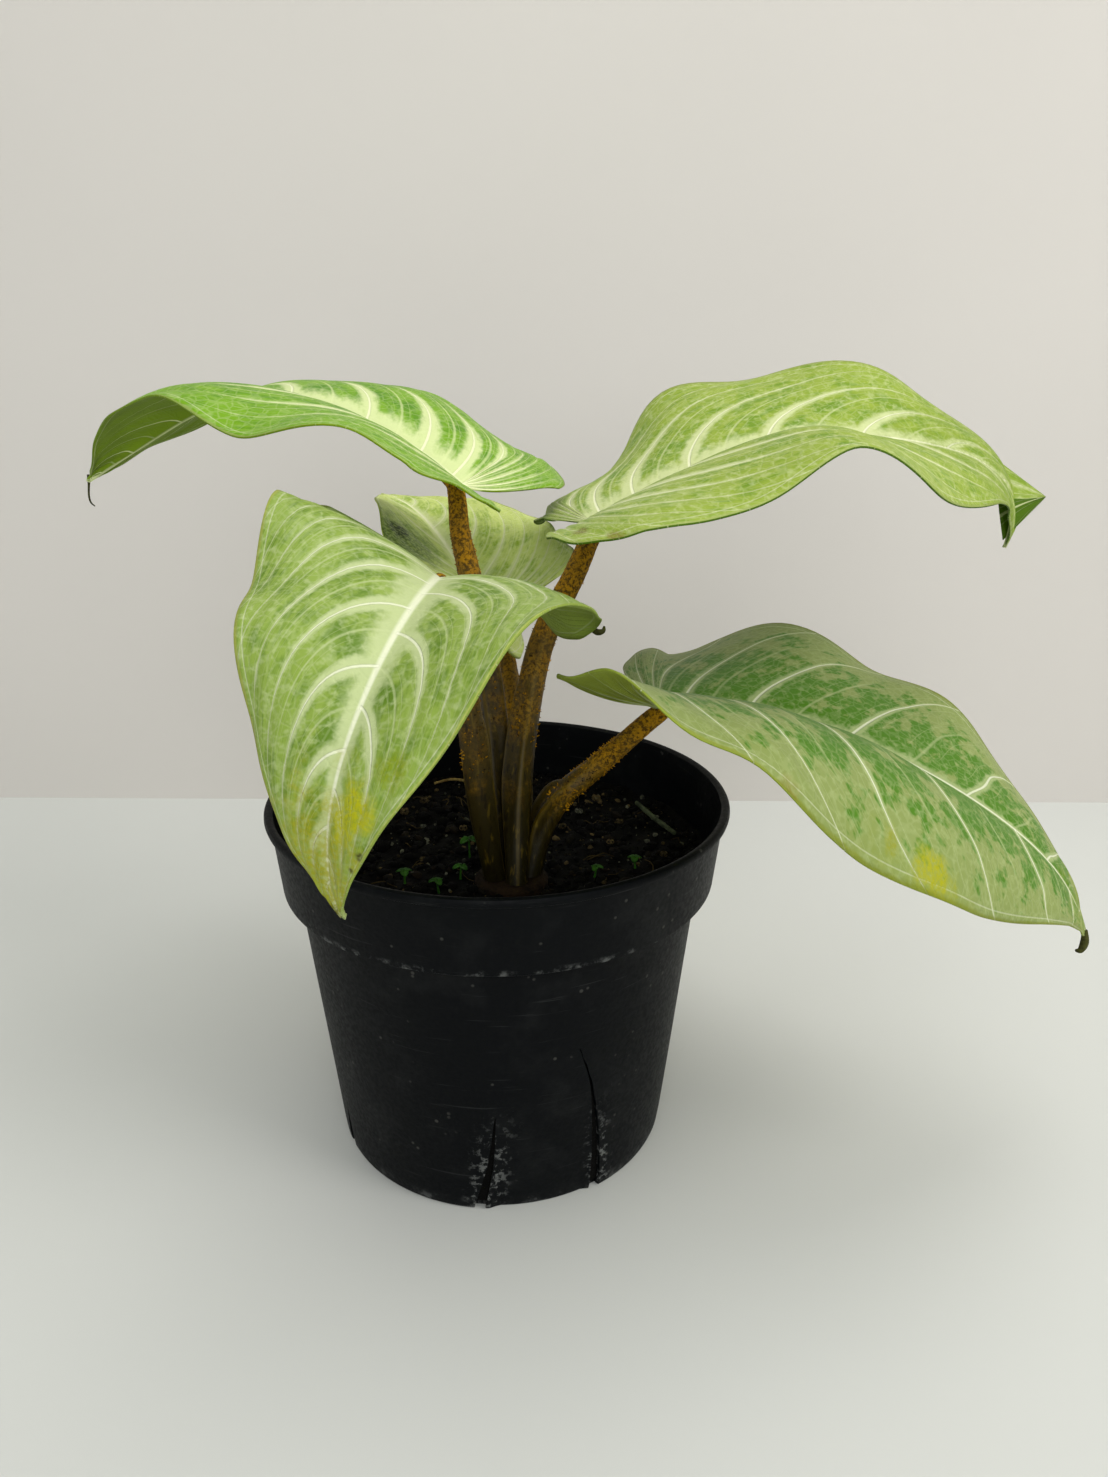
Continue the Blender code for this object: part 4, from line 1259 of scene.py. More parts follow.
@dataclass
class LeafStalk:
    """A fleshy stalk with two sheath edges low down, scurf above, and a top that runs into the midrib."""

    name: str
    path: tuple
    radii: tuple
    sheath_height: float
    sheath_end: float
    blade: LeafBlade
    sides: int = 40
    rings: int = 150
    top_depth: float = 2.7

    def ridge(self, share: float) -> float:
        """Height of the sheath's edges at a share of the stalk."""
        if share > self.sheath_end:
            return 0.0
        rise = min(max((share - 0.10) / 0.16, 0.0), 1.0)
        return self.sheath_height * rise * math.sqrt(min((self.sheath_end - share) / 0.07, 1.0))

    SCURF_SHARE = 0.55               # share of the stalk, from the blade down, that carries flakes
    FLAKE_HEIGHT = (0.35, 0.95)
    FLAKE_RADIUS = (0.2, 0.42)
    FLAKE_POINT = 0.08

    def bristles(self, scurf: bpy.types.Material, count: int) -> bpy.types.Object:
        """Stand small flakes of scurf all round the upper part of the stalk.

        Args:
            scurf: what the flakes are made of.
            count: how many flakes.

        Returns:
            The piece.
        """
        bm = bmesh.new()
        chance = random.Random(f"{self.name} scurf")
        for _ in range(count):
            share = 1.0 - self.SCURF_SHARE * chance.random() ** 1.3
            centre = through_points(list(self.path), share)
            tangent = through_points(list(self.path), min(share + 0.01, 1.0)) - through_points(
                list(self.path), share - 0.01)
            tangent /= np.linalg.norm(tangent)
            across = np.cross(tangent, np.array((0.31, 0.93, 0.2)))
            across /= np.linalg.norm(across)
            angle = chance.uniform(0.0, math.tau)
            arm = across * math.cos(angle) + np.cross(tangent, across) * math.sin(angle)
            tall = chance.uniform(*self.FLAKE_HEIGHT)
            radius = read_between((0.0, 0.25, 0.5, 0.75, 1.0), self.radii, share)
            foot = Vector(centre + arm * (radius - 0.1 + 0.5 * tall)) * MM
            heading = Vector(arm + tangent * chance.uniform(-0.5, 0.9))
            lean = heading.to_track_quat("Z", "Y").to_matrix().to_4x4()
            bmesh.ops.create_cone(bm, cap_ends=True, segments=5,
                                  radius1=chance.uniform(*self.FLAKE_RADIUS) * MM,
                                  radius2=self.FLAKE_POINT * MM, depth=(tall + 0.3) * MM,
                                  matrix=Matrix.Translation(foot) @ lean)
        return add_piece(f"scurf_{self.name}", bm, [scurf])

    def build(self, skin: bpy.types.Material) -> bpy.types.Object:
        """Extrude a disc ring by ring from the crown to the blade.

        Args:
            skin: the stalk material.

        Returns:
            The piece.
        """
        free = len(self.path)
        path = list(self.path) + [tuple(point) for point in self.blade.stalk_end(self.top_depth)]
        join = free / (len(path) - 1)
        outward = np.array(path[free]) - np.array(path[0])
        outward[2] = 0.0
        bm = bmesh.new()
        bmesh.ops.create_circle(bm, cap_ends=True, segments=self.sides, radius=1.0)
        corner_of = bm.verts.layers.int.new("corner")
        ring_of = bm.verts.layers.int.new("ring")
        cap = bm.faces[:][0]
        for corner, vert in enumerate(cap.verts):
            vert[corner_of] = corner
        chance = random.Random(self.name)
        for ring in range(self.rings + 1):
            spot = ring / self.rings
            share = min(spot / join, 1.0)
            beyond = max((spot - join) / (1.0 - join), 0.0)
            centre = through_points(path, spot)
            tangent = (through_points(path, min(spot + 0.006, 1.0))
                       - through_points(path, max(spot - 0.006, 0.0)))
            tangent /= np.linalg.norm(tangent)
            plane = np.array([0.0, 0.0, 1.0]) if ring == 0 else tangent
            back = np.cross(tangent, np.cross(outward, tangent))
            back /= -np.linalg.norm(back)
            side = np.cross(tangent, back)
            radius = read_between((0.0, 0.25, 0.5, 0.75, 1.0), self.radii, share)
            radius *= 1.0 - 0.82 * beyond ** 0.8
            ridge = self.ridge(share)
            groove = 0.18 * max(1.0 - share / 0.6, 0.0) * min(share / 0.1, 1.0)
            if ring:
                cap = pull(bm, cap)
            for vert in cap.verts:
                angle = math.tau * vert[corner_of] / self.sides
                from_back = abs(math.remainder(angle, math.tau))
                swell = ridge * math.exp(-((from_back - 0.75) / 0.3) ** 2)
                dip = groove * radius * math.exp(-(from_back / 0.4) ** 2)
                rough = noise.noise(Vector((math.cos(angle) * 2.2, math.sin(angle) * 2.2,
                                            share * 60.0 + free)))
                uneven = chance.uniform(-0.5, 0.5) * 0.16 * smooth_step(0.5, 0.7, share) * (1 - beyond)
                lump = 0.07 * rough + uneven
                arm = (back * math.cos(angle) + side * math.sin(angle)) * (radius + swell - dip + lump)
                arm = arm - tangent * np.dot(arm, plane) / np.dot(tangent, plane)
                vert.co = Vector(centre + arm) * MM
                vert[ring_of] = ring
        bmesh.ops.recalc_face_normals(bm, faces=bm.faces[:])
        chart = bm.loops.layers.uv.new("stalk")
        for face in bm.faces:
            corners = [loop.vert[corner_of] for loop in face.loops]
            wraps = max(corners) - min(corners) > self.sides / 2
            for loop in face.loops:
                corner = loop.vert[corner_of]
                turn = (corner + self.sides if wraps and corner < self.sides / 2 else corner) / self.sides
                from_front = (turn + 0.5) % 1.0 if not wraps else turn - 0.5
                loop[chart].uv = (from_front, loop.vert[ring_of] / self.rings)
        return add_piece(f"stalk_{self.name}", bm, [skin], (f"petiole_{self.name}",))


# ------------------------------------------------------------------ pot, soil and what lies on it

@dataclass
class NurseryPot:
    """A thin moulded pot with a deep collar, a rolled lip, drain holes and splits low in its wall."""

    height: float = 120.0
    rim_radius: float = 75.0
    collar_top_radius: float = 73.2
    collar_foot_radius: float = 70.8
    collar_foot_height: float = 93.8
    body_top_radius: float = 66.0
    base_radius: float = 56.0
    lip_depth: float = 3.2
    wall: float = 1.5
    floor: float = 2.0
    segments: int = 192
    drain_radius: float = 5.0
    drain_circle: float = 40.0
    drain_count: int = 8
    split_steps: int = 7
    cut_radius: float = 53.4
    splits: dict = field(default_factory=lambda: {
        "middle": (((0.6, 38.0), (-2.2, 18.0), (-7.2, -1.0)), ((0.9, 38.0), (-0.2, 18.0), (-3.4, -1.0))),
        "right": (((24.5, 61.0), (29.4, 44.0), (32.1, 20.0), (32.7, -1.0)),
                  ((24.9, 61.0), (30.5, 44.0), (34.7, 20.0), (36.7, -1.0))),
        "left": (((-62.0, 16.0), (-65.5, -1.0)), ((-61.5, 16.0), (-60.5, -1.0))),
    })

    def body_radius(self, height: float) -> float:
        """Outer radius of the wall below the collar."""
        return self.base_radius + (self.body_top_radius - self.base_radius) * height / self.collar_foot_height

    def profile(self) -> list[tuple[float, float]]:
        """Outside from the floor's centre up to the lip, then down the inside to the floor.

        Returns:
            (radius, height) corners in millimetres.
        """
        lip_foot = self.height - self.lip_depth
        inner = self.collar_foot_radius - self.wall
        ledge = self.collar_foot_height + self.wall
        outside = [(0.0, 0.9), (self.base_radius - 9.0, 0.9), (self.base_radius - 8.0, 0.0),
                   (self.base_radius - 1.6, 0.0), (self.base_radius - 0.5, 0.3), (self.base_radius, 1.4)]
        outside += [(self.body_radius(height), height) for height in range(6, 90, 6)]
        outside += [(self.body_top_radius - 0.1, self.collar_foot_height - 1.4),
                    (self.body_top_radius + 0.1, self.collar_foot_height - 0.3),
                    (self.body_top_radius + 0.6, self.collar_foot_height),
                    (self.collar_foot_radius - 0.7, self.collar_foot_height),
                    (self.collar_foot_radius - 0.1, self.collar_foot_height + 0.4),
                    (self.collar_foot_radius + 0.05, self.collar_foot_height + 1.2),
                    (self.collar_top_radius - 0.15, lip_foot - 0.6), (self.collar_top_radius, lip_foot)]
        roll = [(self.rim_radius - 0.9, lip_foot + 0.2), (self.rim_radius - 0.25, lip_foot + 0.6),
                (self.rim_radius, lip_foot + 1.4), (self.rim_radius - 0.05, self.height - 1.0),
                (self.rim_radius - 0.4, self.height - 0.35), (self.rim_radius - 1.1, self.height),
                (self.collar_top_radius - self.wall + 1.4, self.height - 0.1),
                (self.collar_top_radius - self.wall + 0.5, self.height - 0.7),
                (self.collar_top_radius - self.wall, lip_foot)]
        inside = [(inner, ledge + 0.5), (inner - 0.5, ledge),
                  (self.body_top_radius - self.wall, self.collar_foot_height),
                  (self.body_radius(50.0) - self.wall, 50.0),
                  (self.body_radius(self.floor) - self.wall, self.floor),
                  (0.0, self.floor)]
        return outside + roll + inside

    def split_cutter(self, left_edge: tuple, right_edge: tuple) -> bmesh.types.BMesh:
        """A wedge through the wall, bounded by two edges given as (turn, height).

        Args:
            left_edge: (turn, height) points of the left edge.
            right_edge: (turn, height) points of the right edge.

        Returns:
            The cutter.
        """
        bm = bmesh.new()
        rows = []
        for step in range(self.split_steps + 1):
            share = step / self.split_steps
            corners = [through_points(list(edge), share) for edge in (left_edge, right_edge)]
            rows.append([bm.verts.new((math.sin(math.radians(turn)) * self.cut_radius * MM,
                                       -math.cos(math.radians(turn)) * self.cut_radius * MM, height * MM))
                         for turn, height in corners])
        for upper, lower in zip(rows, rows[1:]):
            bm.faces.new((upper[0], upper[1], lower[1], lower[0]))
        grown = bmesh.ops.extrude_face_region(bm, geom=bm.faces[:])["geom"]
        for vert in [part for part in grown if isinstance(part, bmesh.types.BMVert)]:
            vert.co.x *= 1.5
            vert.co.y *= 1.5
        bmesh.ops.triangulate(bm, faces=bm.faces[:])
        bmesh.ops.recalc_face_normals(bm, faces=bm.faces[:])
        return bm

    def drains(self) -> bmesh.types.BMesh:
        """Pins that cut the drain holes.

        Returns:
            The cutter.
        """
        bm = bmesh.new()
        for index in range(self.drain_count):
            angle = math.tau * (index + 0.5) / self.drain_count
            place = Vector((math.cos(angle), math.sin(angle), 0.0)) * self.drain_circle * MM
            bmesh.ops.create_cone(bm, cap_ends=True, segments=24, radius1=self.drain_radius * MM,
                                  radius2=self.drain_radius * MM, depth=0.012,
                                  matrix=Matrix.Translation(place))
        return bm

    def cut(self, target: bpy.types.Object, cutters: list[bmesh.types.BMesh]) -> bmesh.types.BMesh:
        """Subtract cutters from a target and return the result as a bmesh.

        Args:
            target: the piece to cut.
            cutters: meshes taken away from it, freed here.

        Returns:
            The cut mesh.
        """
        spent = []
        for index, bm in enumerate(cutters):
            mesh = bpy.data.meshes.new(f"cutter_{index}")
            bm.to_mesh(mesh)
            bm.free()
            cutter = bpy.data.objects.new(mesh.name, mesh)
            bpy.context.scene.collection.objects.link(cutter)
            boolean = target.modifiers.new(mesh.name, "BOOLEAN")
            boolean.operation = "DIFFERENCE"
            boolean.solver = "EXACT"
            boolean.object = cutter
            spent.append(cutter)
        graph = bpy.context.evaluated_depsgraph_get()
        result = bmesh.new()
        result.from_object(target, graph)
        for cutter in spent + [target]:
            bpy.data.objects.remove(cutter, do_unlink=True)
        return result

    def settle(self, bm: bmesh.types.BMesh) -> None:
        """Press the flap between the splits inwards a little and warp the wall as soft plastic does.

        Args:
            bm: the mesh, changed in place.
        """
        for vert in bm.verts:
            x, y, z = vert.co / MM
            turn = math.degrees(math.atan2(x, -y))
            radius = math.hypot(x, y)
            if radius < self.base_radius - 10.0:
                continue
            low = smooth_step(60.0, 0.0, z)
            flap = smooth_step(-2.0, 1.5, turn) * smooth_step(34.0, 30.0, turn) * low
            push = -1.5 * flap + 0.18 * noise.noise(Vector((math.sin(math.radians(turn)) * 2.0,
                                                            math.cos(math.radians(turn)) * 2.0, z / 55.0)))
            vert.co.x += x / radius * push * MM
            vert.co.y += y / radius * push * MM

    def build(self, plastic: bpy.types.Material) -> bpy.types.Object:
        """Turn the pot, cut its splits and drain holes and let its wall settle.

        Args:
            plastic: the pot material.

        Returns:
            The piece.
        """
        mesh = bpy.data.meshes.new("pot_blank")
        blank = turned(self.profile(), self.segments)
        blank.to_mesh(mesh)
        blank.free()
        target = bpy.data.objects.new("pot_blank", mesh)
        bpy.context.scene.collection.objects.link(target)
        cutters = [self.split_cutter(*edges) for edges in self.splits.values()] + [self.drains()]
        bm = self.cut(target, cutters)
        self.settle(bm)
        return add_piece("nursery_pot", bm, [plastic], ("pot",), 35.0)


@dataclass
class SoilBed:
    """Potting mix with a lumpy top, and the crumbs, bark, grit and fibres that lie in it."""

    pot: NurseryPot
    level: float = 100.0
    roughness: float = 1.1
    crown: tuple[float, float] = (5.0, -27.0)
    rings: int = 60
    segments: int = 168

    def height(self, x: float, y: float) -> float:
        """Height of the soil's broad shape at a place."""
        lumps = (math.sin(x * 0.21 + 1.3) * math.cos(y * 0.17 - 0.4) * 0.6
                 + math.sin(x * 0.47 - y * 0.39) * 0.4)
        away = math.hypot(x - self.crown[0], y - self.crown[1])
        return self.level + self.roughness * lumps + 1.0 * math.exp(-(away / 18.0) ** 2)

    def radius(self) -> float:
        """Radius of the soil's top, just inside the collar."""
        return self.pot.collar_foot_radius - self.pot.wall + 0.2

    def build(self, earth: bpy.types.Material) -> bpy.types.Object:
        """Turn the soil body and give its top clods and crumbs of several sizes.

        Args:
            earth: the soil material.

        Returns:
            The piece.
        """
        pot = self.pot
        profile = [(0.0, pot.floor + 0.3), (pot.body_radius(pot.floor) - pot.wall - 0.3, pot.floor + 0.3),
                   (pot.body_top_radius - pot.wall - 0.3, pot.collar_foot_height + 0.3),
                   (self.radius() - 0.7, pot.collar_foot_height + pot.wall + 0.7)]
        profile += [(self.radius() * (1.0 - ring / self.rings), self.level) for ring in range(self.rings + 1)]
        bm = turned(profile, self.segments)
        for vert in bm.verts:
            if vert.co.z > (self.level - 0.5) * MM:
                x, y = vert.co.x / MM, vert.co.y / MM
                clods = noise.fractal(Vector((x, y, 0.0)) * 0.16, 1.0, 2.1, 5)
                crumbs = noise.noise(Vector((x, y, 7.0)) * 0.8)
                vert.co.z = (self.height(x, y) - 0.3 + 0.9 * clods + 0.5 * crumbs) * MM
        return add_piece("soil_bed", bm, [earth], ("soil",), 80.0)

    LUMP_SPREAD = 0.965              # lumps lie within this share of the soil's radius
    LUMP_POWER = 2.5                 # the higher, the fewer large lumps
    LUMP_RISE = 0.35                 # how far a lump's middle stands proud, in its own heights
    FIBRE_SPREAD = 0.85
    FIBRE_LENGTH = (4.0, 14.0)
    FIBRE_RADIUS = 0.22
    FIBRE_STEPS = 4

    def scatter(self, name: str, material: bpy.types.Material, count: int, size: tuple[float, float],
                flatness: float, seed: int) -> bpy.types.Object:
        """Scatter rough lumps over the soil as one piece.

        Args:
            name: the piece's name.
            material: its material.
            count: how many lumps.
            size: smallest and largest radius in millimetres.
            flatness: height as a share of width.
            seed: seed of the random draws.

        Returns:
            The piece.
        """
        chance = random.Random(seed)
        bm = bmesh.new()
        for _ in range(count):
            away = self.radius() * self.LUMP_SPREAD * math.sqrt(chance.random())
            turn = chance.uniform(0.0, math.tau)
            x, y = away * math.cos(turn), away * math.sin(turn)
            radius = size[0] + (size[1] - size[0]) * chance.random() ** self.LUMP_POWER
            radius = min(radius, self.radius() + 0.8 - away)
            rise = self.height(x, y) + radius * flatness * self.LUMP_RISE
            centre = Vector((x, y, rise)) * MM
            stretch = (chance.uniform(0.8, 1.5), chance.uniform(0.6, 1.1),
                       flatness * chance.uniform(0.7, 1.3))
            tilt = Matrix.Rotation(chance.uniform(0.0, math.tau), 4, "Z") @ Matrix.Rotation(
                chance.uniform(-0.6, 0.6), 4, "X")
            matrix = Matrix.Translation(centre) @ tilt @ Matrix.Diagonal((*stretch, 1.0))
            lump = bmesh.ops.create_icosphere(bm, subdivisions=1, radius=radius * MM, matrix=matrix)["verts"]
            for vert in lump:
                vert.co = centre + (vert.co - centre) * chance.uniform(0.75, 1.15)
        return add_piece(name, bm, [material])

    def fibres(self, name: str, material: bpy.types.Material, count: int, seed: int) -> bpy.types.Object:
        """Lay thin bent fibres on the soil as one piece.

        Args:
            name: the piece's name.
            material: its material.
            count: how many fibres are tried.
            seed: seed of the random draws.

        Returns:
            The piece.
        """
        chance = random.Random(seed)
        bm = bmesh.new()
        for _ in range(count):
            away = self.radius() * self.FIBRE_SPREAD * math.sqrt(chance.random())
            turn = chance.uniform(0.0, math.tau)
            x, y = away * math.cos(turn), away * math.sin(turn)
            heading = chance.uniform(0.0, math.tau)
            length = chance.uniform(*self.FIBRE_LENGTH)
            path = []
            for step in range(self.FIBRE_STEPS + 1):
                share = step / self.FIBRE_STEPS
                heading += chance.uniform(-0.35, 0.35)
                reach = length * share
                px, py = x + reach * math.cos(heading), y + reach * math.sin(heading)
                if math.hypot(px, py) > self.radius() - 1.0:
                    continue
                arch = 1.2 * math.sin(share * math.pi) * chance.random()
                path.append((px, py, self.height(px, py) + 0.7 + arch))
            if len(path) > 2:
                tapering = [self.FIBRE_RADIUS * (1.0 - 0.5 * step / len(path)) for step in range(len(path))]
                tube(bm, path, tapering, 5)
        return add_piece(name, bm, [material])


@dataclass
class CloverSprig:
    """A seedling: three notched leaflets on a thin stalk."""

    index: int
    x: float
    y: float
    height: float
    radius: float
    ground: float

    LEAFLETS = 3
    STALK_RADII = (0.42, 0.34, 0.3, 0.28)
    THICKNESS = 0.22

    def build(self, material: bpy.types.Material) -> bpy.types.Object:
        """Build the stalk and its leaflets as one piece.

        Args:
            material: what it is made of.

        Returns:
            The piece.
        """
        chance = random.Random(40 + self.index)
        bm = bmesh.new()
        top = self.ground + self.height - 0.9
        lean = (chance.uniform(-0.6, 0.6), chance.uniform(-0.6, 0.6))
        path = [(self.x + lean[0] * share, self.y + lean[1] * share,
                 self.ground + (top - self.ground) * share)
                for share in (0.0, 0.35, 0.7, 1.0)]
        tube(bm, path, list(self.STALK_RADII), 8)
        leaflets = []
        for leaflet in range(self.LEAFLETS):
            turn = math.tau * leaflet / self.LEAFLETS - self.index / 3.0
            made = bmesh.ops.create_grid(bm, x_segments=6, y_segments=6, size=1.0)["verts"]
            for vert in made:
                u, v = (vert.co.y + 1.0) / 2.0, vert.co.x
                width = math.sin(min(u * 1.02, 1.0) ** 0.8 * math.pi * 0.94) ** 0.7 * 0.46
                reach = u * (0.98 - 0.12 * (1.0 - abs(v)) * smooth_step(0.7, 1.0, u))
                out, side = reach * self.radius, v * width * self.radius
                droop = 0.25 * self.radius * u * u - 0.22 * abs(v) * self.radius * (1.0 - 0.5 * u)
                vert.co = Vector((self.x + lean[0] + out * math.cos(turn) - side * math.sin(turn),
                                  self.y + lean[1] + out * math.sin(turn) + side * math.cos(turn),
                                  top + 0.5 - droop)) * MM
            leaflets += made
        bmesh.ops.remove_doubles(bm, verts=leaflets, dist=0.02 * MM)
        made = add_piece(f"seedling_{self.index}", bm, [material],
                         (f"clover_sprig_{self.index}",))
        solid = made.modifiers.new("Thickness", "SOLIDIFY")
        solid.thickness = self.THICKNESS * MM
        return made


@dataclass
class Litter:
    """A stem-like scrap that lies on the soil, with joints along it."""

    name: str
    node: str
    path: tuple
    radius: float
    slot: str
    joints: int

    def build(self, material: bpy.types.Material) -> bpy.types.Object:
        """Build the scrap around the CAD node's own height.

        Args:
            material: what it is made of.

        Returns:
            The piece.
        """
        low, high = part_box(self.node)
        level = (low[2] + high[2]) / 2.0 / MM
        bm = bmesh.new()
        steps = 40
        route, radii = [], []
        for step in range(steps + 1):
            share = step / steps
            x, y = through_points(list(self.path), share)
            route.append((x, y, level))
            near = abs(math.remainder(share * self.joints, 1.0)) / self.joints
            taper = 0.75 + 0.25 * math.sin(share * math.pi) ** 0.3
            radii.append(self.radius * taper * (0.86 + 0.2 * math.exp(-(near / 0.012) ** 2)))
        tube(bm, route, radii, 14)
        return add_piece(self.name, bm, [material], (self.node,))


# ------------------------------------------------------------------ the plant's own sizes and colours

BLADES = (
    LeafBlade(
        "left", (-11, 9, 218), 157, (37, 21, -5, -27, -27), (-68, -71, -69, -69, -65),
        Side(0.98, (26, 20, 26, 26), (-12, -55, -22), -23, 0.65, (1.8, 2.84, -0.16)),
        Side(1.08, (32, 20, 13, 10), (-46, -27, -21), -14, 0.51, (1.5, 2.79, 0.59)),
        LeafSkin("left", "6E9C04", "4E8200", "D0DA9E", "EEF0C8", "66800A", halo=5.6, halo_strength=0.88,
                 deep_amount=0.5, shift=0.4, count=12.0, fade=0.3, haze=0.1)),
    LeafBlade(
        "right", (29, 2, 208), 166, (28, 20, 0, -17, -109), (75, 77, 82, 82, 88),
        Side(1.06, (13, 21, 35, 35), (-35, -6, -49), -2, 0.25, (2.2, 3.08, 0.34)),
        Side(1.27, (23, 21, -6, -29), (-22, -29, -50), -44, 0.60, (1.6, 1.94, 0.44)),
        LeafSkin("right", "8AA030", "648806", "C8D098", "ECECCC", "44600A", halo=5.6, halo_strength=0.9,
                 deep_amount=0.5, count=13.0, fade=0.45, shift=0.55, spots=(
                     Spot(0.0, 0.86, 34.0, "72881C", 0.55, 1.3), Spot(0.22, -0.15, 4.0, "6A5A1C", 0.8),
                     Spot(0.30, -0.10, 4.0, "7A661E", 0.7)))),
    LeafBlade(
        "front", (-13, -39, 199), 125, (16, -6, -34, -67, -113), (173, 189, 200, 212, 221),
        Side(1.03, (5, 14, 12, 13), (-57, 0, -33), -20, 0.74, (2.7, 2.23, 0.16)),
        Side(1.03, (42, 34, 22, 2), (-19, -35, -30), -19, 0.57, (2.8, 2.73, 0.79)),
        LeafSkin("front", "829A3E", "587818", "B6C28C", "E4E6CC", "7E903C", halo=5.0, halo_strength=0.9,
                 deep_amount=0.5, shift=0.5, count=14.0, fade=0.5, margin="A8AE50", spots=(
                     Spot(0.0, 1.0, 19.0, "989608", 0.85, 1.8), Spot(-0.06, 0.775, 6.5, "A8A800", 1.0),
                     Spot(-0.12, 0.70, 4.5, "7E8E04", 0.8), Spot(-0.09, 0.84, 1.0, "3A3608"),
                     Spot(-0.07, 0.87, 0.8, "4A4608"), Spot(0.02, 0.995, 4.0, "4E4A08", 0.8)))),
    LeafBlade(
        "low_right", (50, -14, 155), 164, (8, -12, -26, -41, -72), (99, 103, 98, 90, 83),
        Side(1.06, (10, 17, 23, 28), (-10, -6, -41), 3, 0.35, (2.0, 2.54, -0.27)),
        Side(1.34, (28, 28, -3, -37), (-6, -54, -39), -35, 0.75, (2.3, 2.97, 0.54)),
        LeafSkin("low_right", "808F4C", "447400", "A8B47C", "E6E9CC", "7E8C30", halo=3.0, halo_strength=0.7,
                 deep_amount=0.85, deep_edge=0.07, near_rib=0.4, shift=0.5, count=10.0, sweep=-0.04, fade=1.0,
                 haze=0.3, margin="808A20", margin_width=0.025, spots=(
                     Spot(0.30, 0.58, 13.0, "808A14", 0.5, 2.6), Spot(0.24, 0.50, 5.0, "9A9A04", 1.0, 1.5),
                     Spot(0.25, 0.42, 3.0, "8A8C0C", 0.6),
                     Spot(0.34, 0.25, 4.0, "7C6C14", 0.5), Spot(0.0, 1.0, 16.0, "7E8A1C", 0.5, 1.6)))),
    LeafBlade(
        "back", (-2, 36, 177), 99, (10, 25, 18, 8, -2), (-45, -30, -27, -30, -34),
        Side(0.95, (32, 28, 22, 16), (-24, 5, -26), 51, 1.20, (1.1, 2.20, 0.15)),
        Side(1.01, (40, 31, 17, 5), (-9, -11, -30), -30, 0.97, (1.6, 2.24, -0.13)),
        # The back blade's green is painted paler than its own colour: painted light that makes up for the
        # shade the blades above cast on it.
        LeafSkin("back", "CCDC78", "8EB028", "E0E8AC", "F2F4D0", "9CAC3C", halo=3.6, halo_strength=0.75,
                 deep_amount=0.4, shift=0.35, count=10.0, spots=(
                     Spot(-0.26, 0.28, 17.0, "42640C", 0.8), Spot(-0.25, 0.33, 5.0, "1E2E04", 0.9)))),
)

STALKS = {
    "left": (((0.2, -23.4, 104.3), (1.0, -17.5, 125), (-1.5, -9.5, 155), (-7.5, 0.5, 188), (-11, 4.5, 204)),
             (3.3, 4.0, 3.9, 3.2, 2.7), 0.9, 0.50),
    "right": (((6.8, -32.7, 104.3), (6.9, -25, 127), (8.8, -18, 148), (14, -10.5, 173), (24, -4, 193)),
              (3.3, 4.3, 4.1, 3.5, 2.8), 0.9, 0.50),
    "front": (((0.1, -30.4, 104.3), (-3.8, -32.5, 131), (-6.2, -35, 157), (-9.6, -37.2, 179)),
              (3.3, 4.0, 3.8, 3.3, 2.8), 0.9, 0.50),
    "low_right": (((11, -27.1, 104.3), (14, -23.6, 117), (20, -21, 127), (29, -19, 134.8),
                   (38.5, -17, 142.8)),
                  (3.3, 3.9, 3.7, 3.2, 2.9), 2.4, 0.46),
    "back": (((7.0, -21.3, 104.3), (7.6, -12, 121), (6.0, 2, 138), (2.5, 20, 158)),
             (3.3, 3.7, 3.5, 2.9, 2.4), 0.9, 0.50),
}
DRIED_ENDS = (
    DriedEnd("tip_thread_left", ((-145.4, 60.4, 214.6), (-146.1, 60.6, 211.0), (-146.0, 59.3, 207.6),
                                 (-145.2, 58.2, 205.4), (-143.7, 57.6, 204.2)), (0.8, 0.4, 0.35, 0.3, 0.2)),
    DriedEnd("tip_hook_low_right", ((184.0, -30.5, 87.0), (184.2, -31.2, 83.2), (183.0, -32.0, 80.8),
                                    (181.4, -32.0, 80.6)), (0.8, 1.3, 1.0, 0.4)),
    DriedEnd("lobe_curl_front", ((27.5, -41.5, 186.2), (29.5, -42.3, 184.8), (31.2, -42.2, 185.0),
                                 (31.6, -41.6, 186.2)), (0.5, 0.9, 0.7, 0.3)),
)
RIGHT_TIP = TurnedTip("tip_fold_right", (165.4, 39.0, 222.0), (162.5, 30.5, 212.0), (164.7, 27.4, 198.7),
                      (178.6, 32.1, 212.1))
SPRIGS = (((-9, -12), 7.5, 3.4), ((-11, -25), 5.0, 2.7), ((-17, -33), 4.5, 2.6),
          ((-28, -28), 4.5, 2.8), ((44, -18), 4.0, 2.6), ((31, -22), 4.0, 2.3))
# name, what it is made of, how many, smallest and largest radius in millimetres, flatness and seed
LOOSE_BITS = (("crumbs_dark", Tone.MIX, 1500, (0.5, 2.4), 0.7, 11),
              ("bark_bits", Tone.BARK, 260, (0.6, 2.8), 0.5, 12),
              ("grit_sand", Tone.SAND, 300, (0.3, 1.2), 0.75, 13),
              ("pumice_bits", Tone.PUMICE, 140, (0.3, 1.3), 0.8, 14))
FIBRE_COUNT = 46
BRISTLE_COUNT = 330


# ------------------------------------------------------------------ studio

